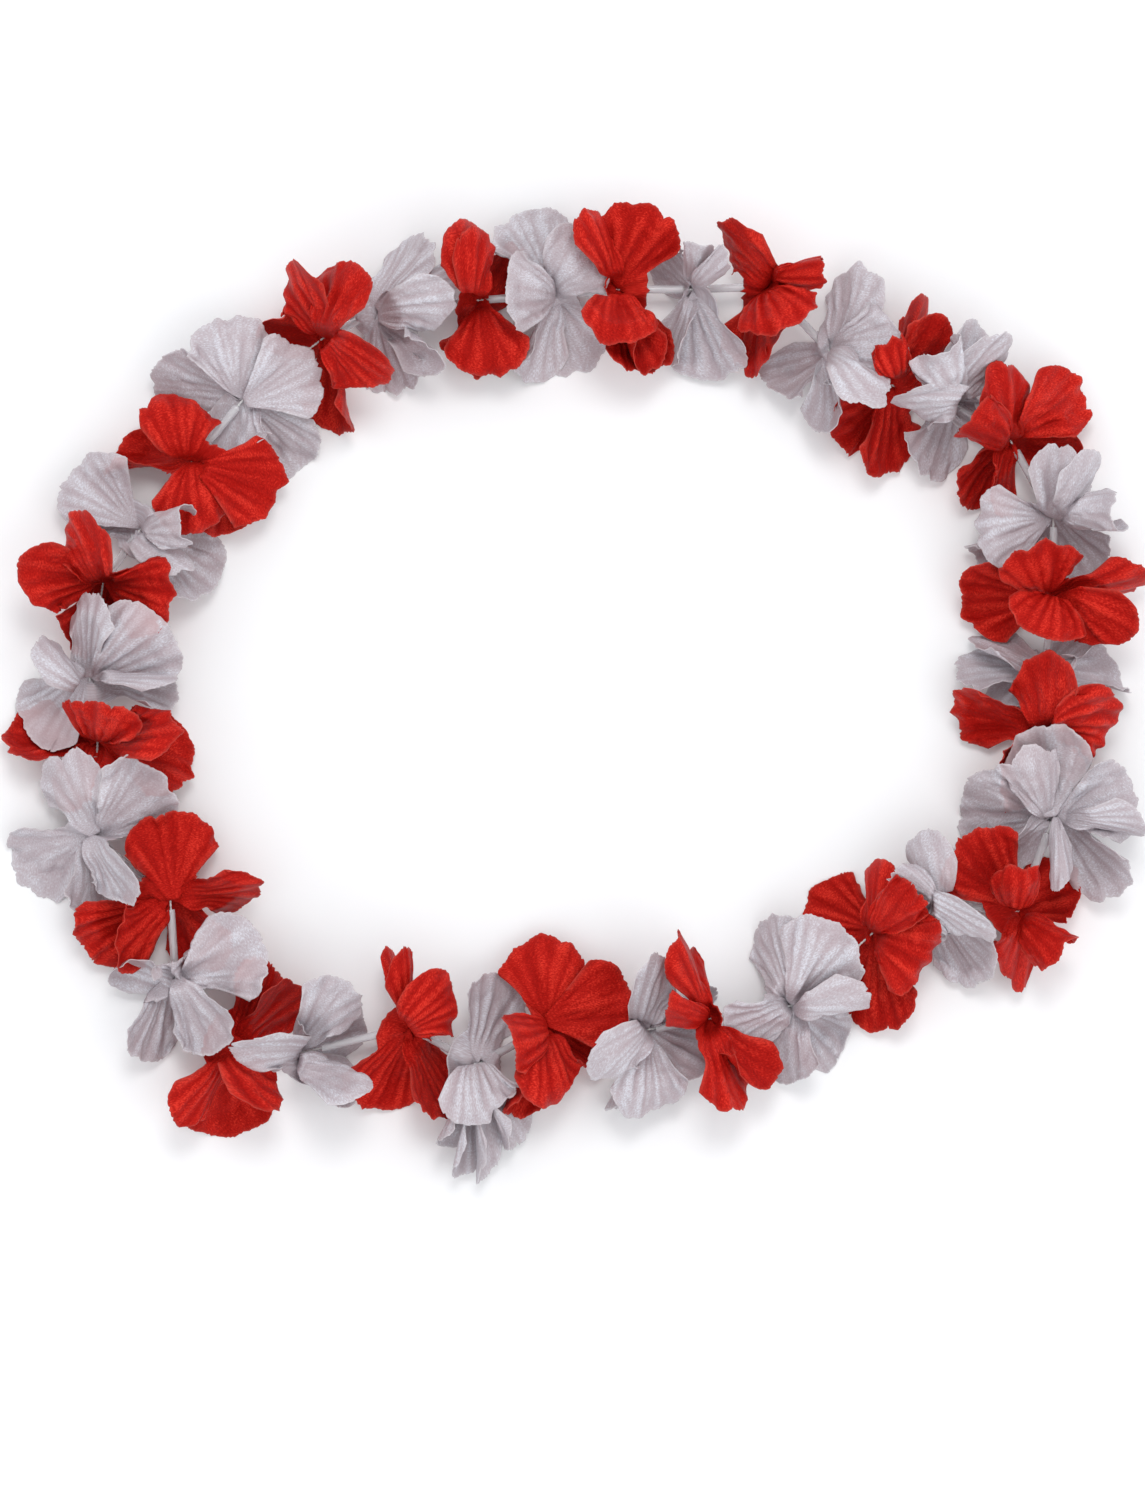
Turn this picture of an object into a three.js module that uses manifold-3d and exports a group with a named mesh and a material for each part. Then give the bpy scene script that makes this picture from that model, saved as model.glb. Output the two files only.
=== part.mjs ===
// A party lei: 36 die-cut satin blooms, red and white by turns, on a thread tied into a loop, with a
// clear plastic tube on the thread between each bloom and the next. It lies on a table, seen from above
// with +Y up the page. Millimetres, +Z up, table at z = 0.
import * as THREE from "three";
import Module from "manifold-3d";

const wasm = await Module();
wasm.setup();

// Driving dimensions
const PETAL_LENGTH = 34; // from the thread to the rim
const PETAL_BREADTH = 32; // across the widest part of a flat petal
const CLOTH = 0.7; // thickness of a petal
const SECTOR = THREE.MathUtils.degToRad(36); // half the fan that one petal has at the hub
const SECTOR_FLARE = THREE.MathUtils.degToRad(3); // by how much the fan opens towards the rim
const CORNER_CUT = 0.26; // how much shorter a petal is along its sides than along its middle
const CORNER_POWER = 2.6; // how late the rim turns into the sides
const HUB_HEIGHT = 12; // of the thread over the table at a bloom
const HUB = { hole: 0.9, radius: 3.2 }; // the disc's middle, where the thread runs through
const WIDEST_ROOT = THREE.MathUtils.degToRad(25); // half the angle that a petal's root takes of the hub
const ROOT_SHARE = 0.42; // of a petal's fair share of the turn round the hub that half its root may take
const ROOT_STEP = 2.15; // half roots from one petal's root to the next at least
const ROOT_TILT = 0.5; // how steeply a petal leaves the hub, up or down
const SPREAD_ROUNDS = 60;
const THREAD_RADIUS = 0.5;
const TUBE = { radius: 1.5, longest: 24, clearOfHub: 3.4 };
const SWEEP_SIDES = 5;
const GAP = 0.4; // kept between one node and the next
const SMALLEST_DETAIL = 0.12; // finer slivers than this are smoothed away
const TOUCHING = 0.005; // points nearer than this count as one
const DRAWN_APART = 0.02;
const TIDY_ROUNDS = 3;

// How petals lie on each other
const CELL = 1.5; // of the height map
const MAP_HALF = [225, 200];
const FINE = 8; // spans each way of the grid that a petal settles on
const SPLAT = 3; // finer steps with which a settled petal marks the height map
const SETTLE_ROUNDS = 8;
const MOST_LIFT = 14;
const STEEP_ROLL = THREE.MathUtils.degToRad(35); // past this a petal lifts in whole rows
const MOST_ROLL = THREE.MathUtils.degToRad(62);
const GOLDEN_STEP = 0.618034; // of a turn, from one petal's ripples to the next one's
const BLOOM_STEP = 7; // such steps from one bloom to the next
const STRAIGHT = { share: 0.9995, halfAngle: 0.05 }; // an arc this nearly straight turns this little
const NEWTON_ROUNDS = 8;
const RIM_FLUTTER = { height: 1.2, across: 3.2, out: 2 };
const PRESSED = 2.2; // how near the table a resting petal is pressed flat
const FULL_FACE = 0.84; // a petal that looks this share of its breadth or more is unrolled
const ROOT_WAIST = 3.2; // how far before its root a petal's two sides would meet
const ROLL_IN = 12; // the length over which a petal turns from its root into its roll
const RISE_ROLL = 0.4; // share of that roll that a standing petal has
const CUPPED = [0.42, 0.985]; // least and most of its breadth to which a petal cups
const FOLDED = { from: 10, least: 0.45 }; // one that looks narrower than this is folded in lengthwise
const TAUT = 0.97; // share of its length to which a petal may be drawn out
const SLACK = 1.005; // length over chord of a petal that is drawn out
const LIE_TIP = { drop: -4, spare: 0.55 }; // a drooping tip over the hub, and per length to spare
const RISE_SPARE = 0.95;
const SETTLE_SPARE = 0.15; // over the gap, while petals settle
const RAISES = [0, 3, 6, 9, 12, 15]; // of a tip, tried in turn until the petal lies clear
const CLEAR_ENOUGH = 0.02; // cubic millimetres of another petal that one may cross
const RAISE_CHANGE = 0.7; // degrees of swing that count as much as one millimetre of raise
const CHANGE_COST = 0.12; // cubic millimetres of crossing that one degree of swing is worth
const PETALS_MEET = 2.4; // petal lengths between hubs within which petals may meet
const HUB_MET = 1.4; // petal lengths from a hub within which another's petal may meet it
const SWINGS = [0, 3, -3, 6, -6, 10, -10, 14, -14]; // in degrees, likewise

// The solid petal's own grid, as indices into the fine one
const ROWS = [2, 5, 8];
const COLUMNS = [0, 2, 4, 6, 8];
const NARROW_COLUMNS = [0, 4, 8];
const NARROW = 16; // a petal that looks narrower than this has the narrow columns

// A petal is given by where its tip lies from the hub, seen from above, and by how broad it looks:
// rest lies on the table, lie droops over what is below it, rise stands up from the hub.
const rest = (x, y, breadth) => ({ kind: "rest", x, y, breadth });
const lie = (x, y, breadth) => ({ kind: "lie", x, y, breadth });
const rise = (x, y, breadth) => ({ kind: "rise", x, y, breadth });

// The blooms round the loop, clockwise from the top. lean is the side to which a bloom falls: -1 on the
// one before it, 1 on the one after it, 0 on neither.
const BLOOMS = [
  { hub: [-7, 148], lean: -1, petals: [lie(-13, 31, 26), rise(-19, 1, 25), rest(10, -27, 28),
    lie(15, 18, 26), rest(-13, -30, 10)] },
  { hub: [16, 150], lean: -1, petals: [lie(14, 29, 26), lie(-9, 29, 9), lie(6, -22, 22),
    rest(19, -29, 20), rest(3, -32, 9)] },
  { hub: [44, 150], lean: 1, petals: [rise(-1, 14, 7), rise(11, 14, 5), rest(10, -33, 22),
    rest(-8, -28, 7), rest(-14, 18, 12)] },
  { hub: [72, 151], lean: 1, petals: [lie(-17, 18, 13), rise(17, 11, 7), rise(6, -17, 27),
    rest(-9, -32, 15), rest(6, -28, 14)] },
  { hub: [95, 127], lean: 1, petals: [lie(9, 30, 19), lie(26, 7, 24), lie(24, -10, 10),
    rest(-23, -13, 17), rest(9, -24, 9)] },
  { hub: [119, 114], lean: -1, petals: [lie(15, 29, 13), lie(22, 17, 10), rise(0, 15, 9),
    rest(-21, -20, 17), rest(-4, -33, 19)] },
  { hub: [141, 108], lean: -1, petals: [lie(11, 25, 18), lie(23, 14, 14), rise(-4, 18, 12),
    lie(-18, -5, 13), rest(-11, -26, 19), rest(18, -3, 9)] },
  { hub: [162, 94], lean: -1, petals: [lie(2, 24, 17), lie(27, 19, 24), rest(24, 0, 22),
    rest(-19, -23, 16), rise(-17, 6, 12), rest(-10, -24, 8)] },
  { hub: [178, 65], lean: -1, petals: [lie(-29, -6, 28), lie(6, 24, 22), lie(17, 20, 9),
    rise(20, 1, 9), rest(17, -21, 20), rest(-30, -14, 9)] },
  { hub: [178, 36], lean: -1, petals: [rise(-9, 18, 30), lie(33, 4, 12), rest(-35, -1, 22),
    rise(-5, -15, 26), lie(21, -19, 20)] },
  { hub: [175, 9], lean: 1, petals: [rest(-32, 0, 13), rest(31, -6, 11), rest(-27, 9, 8),
    rest(-14, -14, 15), rest(16, 12, 10)] },
  { hub: [174, -13], lean: -1, petals: [rest(-34, 9, 14), lie(-4, 26, 21), lie(25, 7, 23),
    rest(16, -16, 9), rest(-15, -26, 18)] },
  { hub: [178, -46], lean: -1, petals: [lie(-4, 34, 25), rise(-15, 23, 15), rest(-34, 10, 25),
    lie(30, 10, 27), lie(32, -7, 7), rest(26, -27, 15), rise(1, -26, 5), rest(-23, -13, 9)] },
  { hub: [165, -81], lean: 1, petals: [lie(-25, 24, 28), rest(22, 10, 22), rest(-4, -24, 16),
    rise(16, -14, 11), rise(1, 16, 14)] },
  { hub: [133, -78], lean: -1, petals: [lie(-8, 23, 10), rise(-17, 10, 7), lie(13, -14, 13),
    rest(19, -29, 17), rest(10, 14, 12)] },
  { hub: [111, -89], lean: -1, petals: [rest(-23, 13, 27), lie(0, 26, 7), rise(12, 19, 13),
    lie(23, -10, 30), rest(2, -36, 22)] },
  { hub: [81, -116], lean: -1, petals: [lie(-10, 32, 19), lie(16, 30, 26), lie(27, 1, 9),
    rest(17, -20, 24), rest(-3, -29, 18), rest(-23, -17, 18)] },
  { hub: [50, -121], lean: 1, petals: [lie(-11, 33, 7), lie(12, -32, 15), rest(18, -24, 11),
    rise(-16, 7, 7), rest(-9, 20, 6)] },
  { hub: [27, -125], lean: 1, petals: [lie(8, 23, 17), rest(24, 17, 8), rest(26, -13, 22),
    lie(1, -32, 24), lie(-14, -17, 15), rest(-12, -31, 9)] },
  { hub: [-10, -124], lean: 1, petals: [lie(-2, 33, 30), lie(31, 14, 26), lie(5, -25, 20),
    rise(-14, -3, 17), rest(-15, -32, 8), rest(20, -17, 7)] },
  { hub: [-36, -138], lean: 1, petals: [rest(9, 34, 19), lie(4, -19, 25), rest(-12, -31, 11),
    rest(-7, -42, 6), rest(1, -43, 5), rest(14, -32, 7)] },
  { hub: [-61, -124], lean: 1, petals: [lie(-5, 30, 4), lie(2, 29, 6), lie(17, 12, 22),
    rest(-17, -30, 22), rest(12, -35, 14)] },
  { hub: [-103, -134], lean: 1, petals: [lie(22, 26, 17), rest(24, 16, 15), lie(-16, -2, 13),
    lie(27, -6, 10), rest(18, -19, 9)] },
  { hub: [-126, -132], lean: 1, petals: [rest(13, 32, 17), rest(28, 19, 13), rest(-5, -34, 24),
    lie(-16, -27, 9), lie(16, -15, 15)] },
  { hub: [-148, -106], lean: 1, petals: [lie(33, 15, 26), rest(-13, -30, 15), lie(15, -27, 20),
    rest(-14, 6, 9), rest(8, 16, 9)] },
  { hub: [-150, -77], lean: 1, petals: [lie(0, 33, 33), lie(33, 3, 13), rest(16, -25, 21),
    rest(-33, -18, 22), rest(-15, -20, 17)] },
  { hub: [-179, -53], lean: 1, petals: [lie(-10, 30, 19), lie(25, 25, 25), rest(-29, -14, 25),
    rest(1, -32, 15), lie(13, -25, 14)] },
  { hub: [-177, -18], lean: -1, petals: [rest(-34, 2, 19), rise(5, 15, 26), rest(35, -9, 22),
    rest(-1, -27, 15), lie(27, 11, 18)] },
  { hub: [-180, 6], lean: -1, petals: [lie(2, 31, 15), lie(27, 24, 27), lie(-14, 14, 7),
    lie(33, 7, 5), rest(32, -10, 13), rest(-22, -22, 25)] },
  { hub: [-175, 41], lean: 1, petals: [lie(-27, -3, 22), lie(-10, 20, 19), lie(27, -7, 28),
    rest(-6, -26, 18), rest(18, -24, 16)] },
  { hub: [-161, 61], lean: -1, petals: [lie(-27, 21, 28), rise(16, 3, 10), lie(19, -9, 9),
    rest(28, -21, 20), rest(-22, 2, 12)] },
  { hub: [-142, 86], lean: -1, petals: [lie(-4, 24, 24), rest(-33, -3, 9), lie(2, -25, 26),
    lie(33, -11, 27), rest(15, -26, 20)] },
  { hub: [-123, 109], lean: 1, petals: [lie(-7, 29, 27), lie(27, 14, 28), rest(23, -25, 24),
    rest(-34, 8, 20), rest(-6, -19, 22)] },
  { hub: [-93, 132], lean: 1, petals: [lie(-14, 21, 15), lie(9, 26, 19), lie(18, -20, 19),
    rest(10, -36, 11), rest(-19, 6, 20)] },
  { hub: [-73, 142], lean: 1, petals: [lie(15, 29, 15), lie(30, 19, 7), lie(27, -4, 18),
    rest(9, -29, 20), rest(23, -19, 9)] },
  { hub: [-35, 146], lean: -1, petals: [lie(-4, 24, 9), lie(6, 20, 9), lie(4, -28, 30),
    rest(-8, -27, 18), rest(10, 18, 12)] },
];

// The order in which the blooms lie on each other, lowest first, by number
const LAY_ORDER = [35, 34, 33, 31, 30, 32, 28, 29, 27, 26, 24, 25, 23, 22, 21, 20, 19, 14, 15, 16, 17, 18,
  11, 12, 13, 6, 7, 8, 9, 10, 5, 4, 3, 36, 1, 2];

const MATERIALS = {
  red: new THREE.MeshStandardMaterial({ color: 0xc8161a, roughness: 0.55, metalness: 0 }),
  white: new THREE.MeshStandardMaterial({ color: 0xdcdae2, roughness: 0.5, metalness: 0 }),
  clear: new THREE.MeshStandardMaterial({ color: 0xeceff2, roughness: 0.15, metalness: 0 }),
};

const UP = new THREE.Vector3(0, 0, 1);

// Steps round the turn give each petal its own ripples
const phase = (bloom, petal) => 2 * Math.PI * ((GOLDEN_STEP * (BLOOM_STEP * bloom + petal + 1)) % 1);

// Half the angle that an arc turns through when its chord is this share of its length: the half angle
// whose sine over itself is the share, by Newton's rule from the first term of its series
function arcHalfAngle(share) {
  if (share > STRAIGHT.share) return STRAIGHT.halfAngle;
  let half = Math.sqrt(6 * (1 - share));
  for (let i = 0; i < NEWTON_ROUNDS; i++) {
    half -= (Math.sin(half) - share * half) / (Math.cos(half) - share);
  }
  return half;
}

// Each bloom's hub: its point on the thread, the thread's direction there, and two directions across it
function bloomHubs() {
  const points = BLOOMS.map((b) => new THREE.Vector3(b.hub[0], b.hub[1], HUB_HEIGHT));
  return points.map((point, i) => {
    const before = points[(i + points.length - 1) % points.length];
    const after = points[(i + 1) % points.length];
    const back = point.clone().sub(before).normalize();
    const on = after.clone().sub(point).normalize();
    const along = back.add(on).normalize();
    return { point, along, aside: along.clone().cross(UP).normalize() };
  });
}

// The direction across the thread at an angle round it, from sideways towards up
function roundThread(hub, angle) {
  return hub.aside.clone().multiplyScalar(Math.cos(angle)).addScaledVector(UP, Math.sin(angle));
}

// The angle round the thread at which each petal leaves the hub, near the way it goes and kept apart
function rootAngles(hub, petals) {
  const room = (2 * Math.PI) / petals.length;
  const half = Math.min(WIDEST_ROOT, ROOT_SHARE * room);
  const angles = petals.map((petal) => {
    const reach = Math.hypot(petal.x, petal.y);
    const sideways = (petal.x * hub.aside.x + petal.y * hub.aside.y) / reach;
    return Math.atan2(petal.kind === "rest" ? -ROOT_TILT : ROOT_TILT, sideways);
  });
  const order = petals.map((_, k) => k).sort((a, b) => angles[a] - angles[b]);
  for (let round = 0; round < SPREAD_ROUNDS; round++) {
    order.forEach((k, n) => {
      const next = order[(n + 1) % order.length];
      const lap = n + 1 === order.length ? 2 * Math.PI : 0;
      const short = ROOT_STEP * half - (angles[next] + lap - angles[k]);
      if (short > 0) {
        angles[k] -= short / 2;
        angles[next] += short / 2;
      }
    });
  }
  return { angles, order, half };
}

// How high over the hub a petal's tip starts out
function tipRise(petal, reach, length) {
  const spare = Math.sqrt(Math.max(0, (TAUT * length) ** 2 - reach ** 2));
  if (petal.kind === "rest") return CLOTH / 2 - HUB_HEIGHT;
  if (petal.kind === "lie") return LIE_TIP.drop + LIE_TIP.spare * spare;
  return RISE_SPARE * spare;
}

// A petal's points on the fine grid, [row][column], root row first
function petalGrid({ petal, hub, lean, rootAngle, wave }, raise, swing) {
  const root = hub.point.clone().addScaledVector(roundThread(hub, rootAngle), HUB.radius);
  const reach = Math.hypot(petal.x, petal.y);
  const tip = new THREE.Vector3(petal.x, petal.y, 0).applyAxisAngle(UP, THREE.MathUtils.degToRad(swing));
  tip.z = tipRise(petal, reach, PETAL_LENGTH) + raise;
  tip.add(hub.point);
  const run = Math.hypot(tip.x - root.x, tip.y - root.y);
  const climb = tip.z - root.z;
  const chord = Math.hypot(run, climb);
  const length = Math.max(PETAL_LENGTH - HUB.radius, chord * SLACK);
  const toTip = new THREE.Vector3((tip.x - root.x) / run, (tip.y - root.y) / run, 0);
  const left = UP.clone().cross(toTip);
  const half = arcHalfAngle(chord / length) * (petal.kind === "rest" ? -1 : 1);
  const start = Math.atan2(climb, run) + half;
  const bend = (-2 * half) / length;

  const folded = THREE.MathUtils.clamp(petal.breadth / FOLDED.from, FOLDED.least, 1);
  const share = Math.min(1, petal.breadth / (folded * PETAL_BREADTH * FULL_FACE));
  const side = left.dot(hub.along) * lean >= 0 ? 1 : -1;
  const roll = Math.min(MOST_ROLL, Math.acos(share)) * (petal.kind === "rise" ? RISE_ROLL : 1);
  const cupShare = THREE.MathUtils.clamp(share / Math.cos(roll), ...CUPPED);
  const cup = arcHalfAngle(cupShare) / ((folded * PETAL_BREADTH) / 2);
  const cupSide = petal.kind === "rest" ? 1 : -1;

  const grid = [];
  for (let i = 0; i <= FINE; i++) {
    const row = [];
    for (let j = 0; j <= FINE; j++) {
      const across = (2 * j) / FINE - 1;
      const out = i / FINE;
      const angle = across * (SECTOR + SECTOR_FLARE * out);
      const rim = length * (1 - CORNER_CUT * Math.abs(across) ** CORNER_POWER);
      const ray = out * rim;
      const s = ray * Math.cos(angle);
      const w = folded * (ray + ROOT_WAIST) * Math.sin(angle);
      const elevation = start + bend * s;
      const forward = (Math.sin(elevation) - Math.sin(start)) / bend;
      const upward = (Math.cos(start) - Math.cos(elevation)) / bend;
      const normal = toTip.clone().multiplyScalar(-Math.sin(elevation));
      normal.addScaledVector(UP, Math.cos(elevation));
      const turn = -roll * side * THREE.MathUtils.smoothstep(s, 0, ROLL_IN);
      const crossway = left.clone().multiplyScalar(-Math.cos(turn)).addScaledVector(normal, Math.sin(turn));
      const outway = normal.clone().multiplyScalar(Math.cos(turn)).addScaledVector(left, Math.sin(turn));
      const ripple = wave + RIM_FLUTTER.across * across + RIM_FLUTTER.out * out;
      const flutter = RIM_FLUTTER.height * out * out * Math.sin(ripple);
      const point = root.clone().addScaledVector(toTip, forward).addScaledVector(UP, upward);
      point.addScaledVector(crossway, Math.sin(cup * w) / cup);
      point.addScaledVector(outway, (cupSide * (1 - Math.cos(cup * w))) / cup + flutter);
      row.push(point);
    }
    grid.push(row);
  }
  return { grid, roll };
}

// The height of what has been laid so far, in square cells over the table
const heights = {
  wide: Math.ceil((2 * MAP_HALF[0]) / CELL),
  deep: Math.ceil((2 * MAP_HALF[1]) / CELL),
};
heights.values = new Float32Array(heights.wide * heights.deep);

const cellOf = (x, y) => [Math.floor((x + MAP_HALF[0]) / CELL), Math.floor((y + MAP_HALF[1]) / CELL)];

function heightUnder(x, y) {
  const [column, row] = cellOf(x, y);
  let highest = 0;
  for (let r = row - 1; r <= row + 1; r++) {
    for (let c = column - 1; c <= column + 1; c++) {
      highest = Math.max(highest, heights.values[r * heights.wide + c] ?? 0);
    }
  }
  return highest;
}

function markHeight(x, y, top) {
  const [column, row] = cellOf(x, y);
  const cell = row * heights.wide + column;
  heights.values[cell] = Math.max(heights.values[cell], top);
}

// Lifts a petal over what lies below it, as a skin that stays fast at the root. A resting petal that
// comes near the bare table lies flat on it.
function settle({ grid, roll }, kind) {
  const needs = grid.map((row) => row.map((point) => {
    const below = heightUnder(point.x, point.y);
    return Math.min(MOST_LIFT, below + (below > 0 ? GAP + SETTLE_SPARE : 0) + CLOTH / 2 - point.z);
  }));
  if (roll > STEEP_ROLL) needs.forEach((row) => row.fill(Math.max(...row)));
  let lifts = needs.map((row, i) => row.map((need) => (i === 0 ? 0 : Math.max(0, need))));
  for (let round = 0; round < SETTLE_ROUNDS; round++) {
    lifts = lifts.map((row, i) => row.map((lift, j) => {
      if (i === 0) return 0;
      const around = [lifts[i - 1][j], (lifts[i + 1] ?? row)[j], row[j - 1] ?? row[j], row[j + 1] ?? row[j]];
      return Math.max(0, needs[i][j], around.reduce((a, b) => a + b) / 4);
    }));
  }
  grid.forEach((row, i) => row.forEach((point, j) => {
    point.z += lifts[i][j];
    const onTable = kind === "rest" && i >= ROWS[1] && heightUnder(point.x, point.y) === 0;
    if (onTable && point.z < CLOTH / 2 + PRESSED) point.z = CLOTH / 2;
  }));
}

function markPetal(grid) {
  for (let i = SPLAT; i <= FINE * SPLAT; i++) {
    for (let j = 0; j <= FINE * SPLAT; j++) {
      const point = between(grid, i / SPLAT, j / SPLAT);
      markHeight(point.x, point.y, point.z + CLOTH / 2);
    }
  }
}

// A point between the grid's points
function between(grid, i, j) {
  const i0 = Math.min(Math.floor(i), FINE - 1);
  const j0 = Math.min(Math.floor(j), FINE - 1);
  const near = grid[i0][j0].clone().lerp(grid[i0][j0 + 1], j - j0);
  const far = grid[i0 + 1][j0].clone().lerp(grid[i0 + 1][j0 + 1], j - j0);
  return near.lerp(far, i - i0);
}

function solidOf(corners, triangles) {
  return new wasm.Manifold(new wasm.Mesh({
    numProp: 3,
    vertProperties: new Float32Array(corners),
    triVerts: new Uint32Array(triangles),
  }));
}

// A solid's points and triangles, where points that touch without being one point are drawn apart, each
// towards the mean of the points round it
function parted(solid) {
  const { vertProperties: places, triVerts: corners } = solid.getMesh();
  const points = [];
  for (let v = 0; v < places.length; v += 3) points.push(new THREE.Vector3().fromArray(places, v));
  const sums = points.map(() => new THREE.Vector4());
  for (let t = 0; t < corners.length; t += 3) {
    for (let k = 0; k < 3; k++) {
      const next = points[corners[t + ((k + 1) % 3)]];
      sums[corners[t + k]].add(new THREE.Vector4(next.x, next.y, next.z, 1));
    }
  }
  const taken = new Set();
  points.forEach((point, v) => {
    const spot = () => point.toArray().map((value) => Math.round(value / TOUCHING)).join();
    const { x, y, z, w } = sums[v];
    const inwards = new THREE.Vector3(x / w, y / w, z / w).sub(point).normalize();
    while (taken.has(spot())) point.addScaledVector(inwards, DRAWN_APART);
    taken.add(spot());
    point.toArray(places, 3 * v);
  });
  return { places, corners };
}

// A solid's outer body, without the slivers, scraps and sealed hollows that cutting and joining leave
function tidied(solid) {
  let body = solid;
  for (let round = 0; round < TIDY_ROUNDS; round++) {
    const { places, corners } = parted(body);
    const bodies = solidOf(places, corners).simplify(SMALLEST_DETAIL).decompose();
    body = bodies.sort((a, b) => b.volume() - a.volume())[0];
  }
  return body;
}

function geometryOf(solid) {
  const { places, corners } = parted(solid);
  const geometry = new THREE.BufferGeometry();
  geometry.setAttribute("position", new THREE.BufferAttribute(places, 3));
  geometry.setIndex(new THREE.BufferAttribute(corners, 1));
  return geometry;
}

// A petal's four root corners on the hub: [upper left, upper right], then the same below
function rootCorners(plan, upper) {
  const { hub, rootAngle, halfRoot } = plan;
  const corner = (turn, face) => hub.point.clone()
    .addScaledVector(roundThread(hub, rootAngle + turn * halfRoot), HUB.radius)
    .addScaledVector(hub.along, (face * CLOTH) / 2);
  return [[corner(-upper, upper), corner(upper, upper)], [corner(-upper, -upper), corner(upper, -upper)]];
}

// A closed solid from a settled petal: the same triangles above and below, a rim, and its root's four
// corners, where it meets the hub
function petalSolid(plan, grid, grow) {
  const narrow = plan.petal.breadth < NARROW;
  const rows = ROWS.map((i) => (narrow ? NARROW_COLUMNS : COLUMNS).map((j) => grid[i][j]));
  const tall = rows.length;
  const wide = rows[0].length;
  const middle = (wide - 1) / 2;
  const thickness = CLOTH + 2 * grow;
  const faceOf = (i, j) => {
    const across = rows[i][Math.min(j + 1, wide - 1)].clone().sub(rows[i][Math.max(j - 1, 0)]);
    const outward = rows[Math.min(i + 1, tall - 1)][j].clone();
    outward.sub(i > 0 ? rows[i - 1][j] : grid[0][FINE / 2]);
    return across.cross(outward).normalize();
  };
  const upper = faceOf(0, middle).dot(plan.hub.along) >= 0 ? 1 : -1;
  const corners = [];
  rootCorners(plan, upper).forEach((pair, n) => {
    for (const corner of pair) {
      const point = corner.addScaledVector(plan.hub.along, (n === 0 ? 1 : -1) * upper * grow);
      corners.push(point.x, point.y, point.z);
    }
  });
  for (const side of [1, -1]) {
    for (let i = 0; i < tall; i++) {
      for (let j = 0; j < wide; j++) {
        const point = rows[i][j].clone();
        if (grow > 0 && (j === 0 || j === wide - 1)) {
          point.addScaledVector(rows[i][j].clone().sub(rows[i][middle]).normalize(), grow);
        }
        if (grow > 0 && i === tall - 1) {
          point.addScaledVector(rows[i][j].clone().sub(rows[i - 1][j]).normalize(), grow);
        }
        point.addScaledVector(faceOf(i, j), (side * thickness) / 2);
        if (grow === 0 && point.z < SMALLEST_DETAIL) point.z = 0;
        corners.push(point.x, point.y, point.z);
      }
    }
  }
  const at = (side, i, j) => 4 + side * tall * wide + i * wide + j;
  const root = (side, j) => 2 * side + j;
  const triangles = [];
  const add = (side, a, b, c) => triangles.push(...(side === 0 ? [a, b, c] : [a, c, b]));
  for (const side of [0, 1]) {
    for (let j = 0; j < wide - 1; j++) {
      add(side, root(side, j < middle ? 0 : 1), at(side, 0, j + 1), at(side, 0, j));
    }
    add(side, root(side, 0), root(side, 1), at(side, 0, middle));
    for (let i = 0; i < tall - 1; i++) {
      for (let j = 0; j < wide - 1; j++) {
        const [a, b] = [at(side, i, j), at(side, i, j + 1)];
        const [d, c] = [at(side, i + 1, j), at(side, i + 1, j + 1)];
        if (j < middle) {
          add(side, a, b, d);
          add(side, b, c, d);
        } else {
          add(side, a, b, c);
          add(side, a, c, d);
        }
      }
    }
  }
  const loop = [(side) => root(side, 0), (side) => root(side, 1)];
  for (let i = 0; i < tall; i++) loop.push((side) => at(side, i, wide - 1));
  for (let j = wide - 2; j >= 0; j--) loop.push((side) => at(side, tall - 1, j));
  for (let i = tall - 2; i >= 0; i--) loop.push((side) => at(side, i, 0));
  loop.forEach((pick, k) => {
    const next = loop[(k + 1) % loop.length];
    triangles.push(pick(0), pick(1), next(1), pick(0), next(1), next(0));
  });
  return solidOf(corners, triangles);
}

// The middle of a disc: a thin ring round the thread with a flat for each petal's root
function hubSolid(plans, order, grow) {
  const { hub, halfRoot } = plans[0];
  const corners = [];
  const put = (angle, radius, face) => {
    const point = hub.point.clone().addScaledVector(roundThread(hub, angle), radius);
    point.addScaledVector(hub.along, face * (CLOTH / 2 + grow));
    corners.push(point.x, point.y, point.z);
  };
  for (const k of order) {
    const { rootAngle } = plans[k];
    for (const face of [1, -1]) {
      put(rootAngle, HUB.hole - grow, face);
      put(rootAngle - halfRoot, HUB.radius, face);
      put(rootAngle + halfRoot, HUB.radius, face);
    }
  }
  const triangles = [];
  const count = order.length;
  const at = (n, face, spot) => (n % count) * 6 + face * 3 + spot;
  for (let n = 0; n < count; n++) {
    for (const face of [0, 1]) {
      const add = (a, b, c) => triangles.push(...(face === 0 ? [a, c, b] : [a, b, c]));
      add(at(n, face, 0), at(n, face, 1), at(n, face, 2));
      add(at(n, face, 0), at(n, face, 2), at(n + 1, face, 0));
      add(at(n, face, 2), at(n + 1, face, 1), at(n + 1, face, 0));
    }
    const wall = (a, b, c, d) => triangles.push(a, c, b, a, d, c);
    wall(at(n, 0, 1), at(n, 1, 1), at(n, 1, 2), at(n, 0, 2));
    wall(at(n, 0, 2), at(n, 1, 2), at(n + 1, 1, 1), at(n + 1, 0, 1));
    wall(at(n + 1, 0, 0), at(n + 1, 1, 0), at(n, 1, 0), at(n, 0, 0));
  }
  return solidOf(corners, triangles);
}

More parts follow.
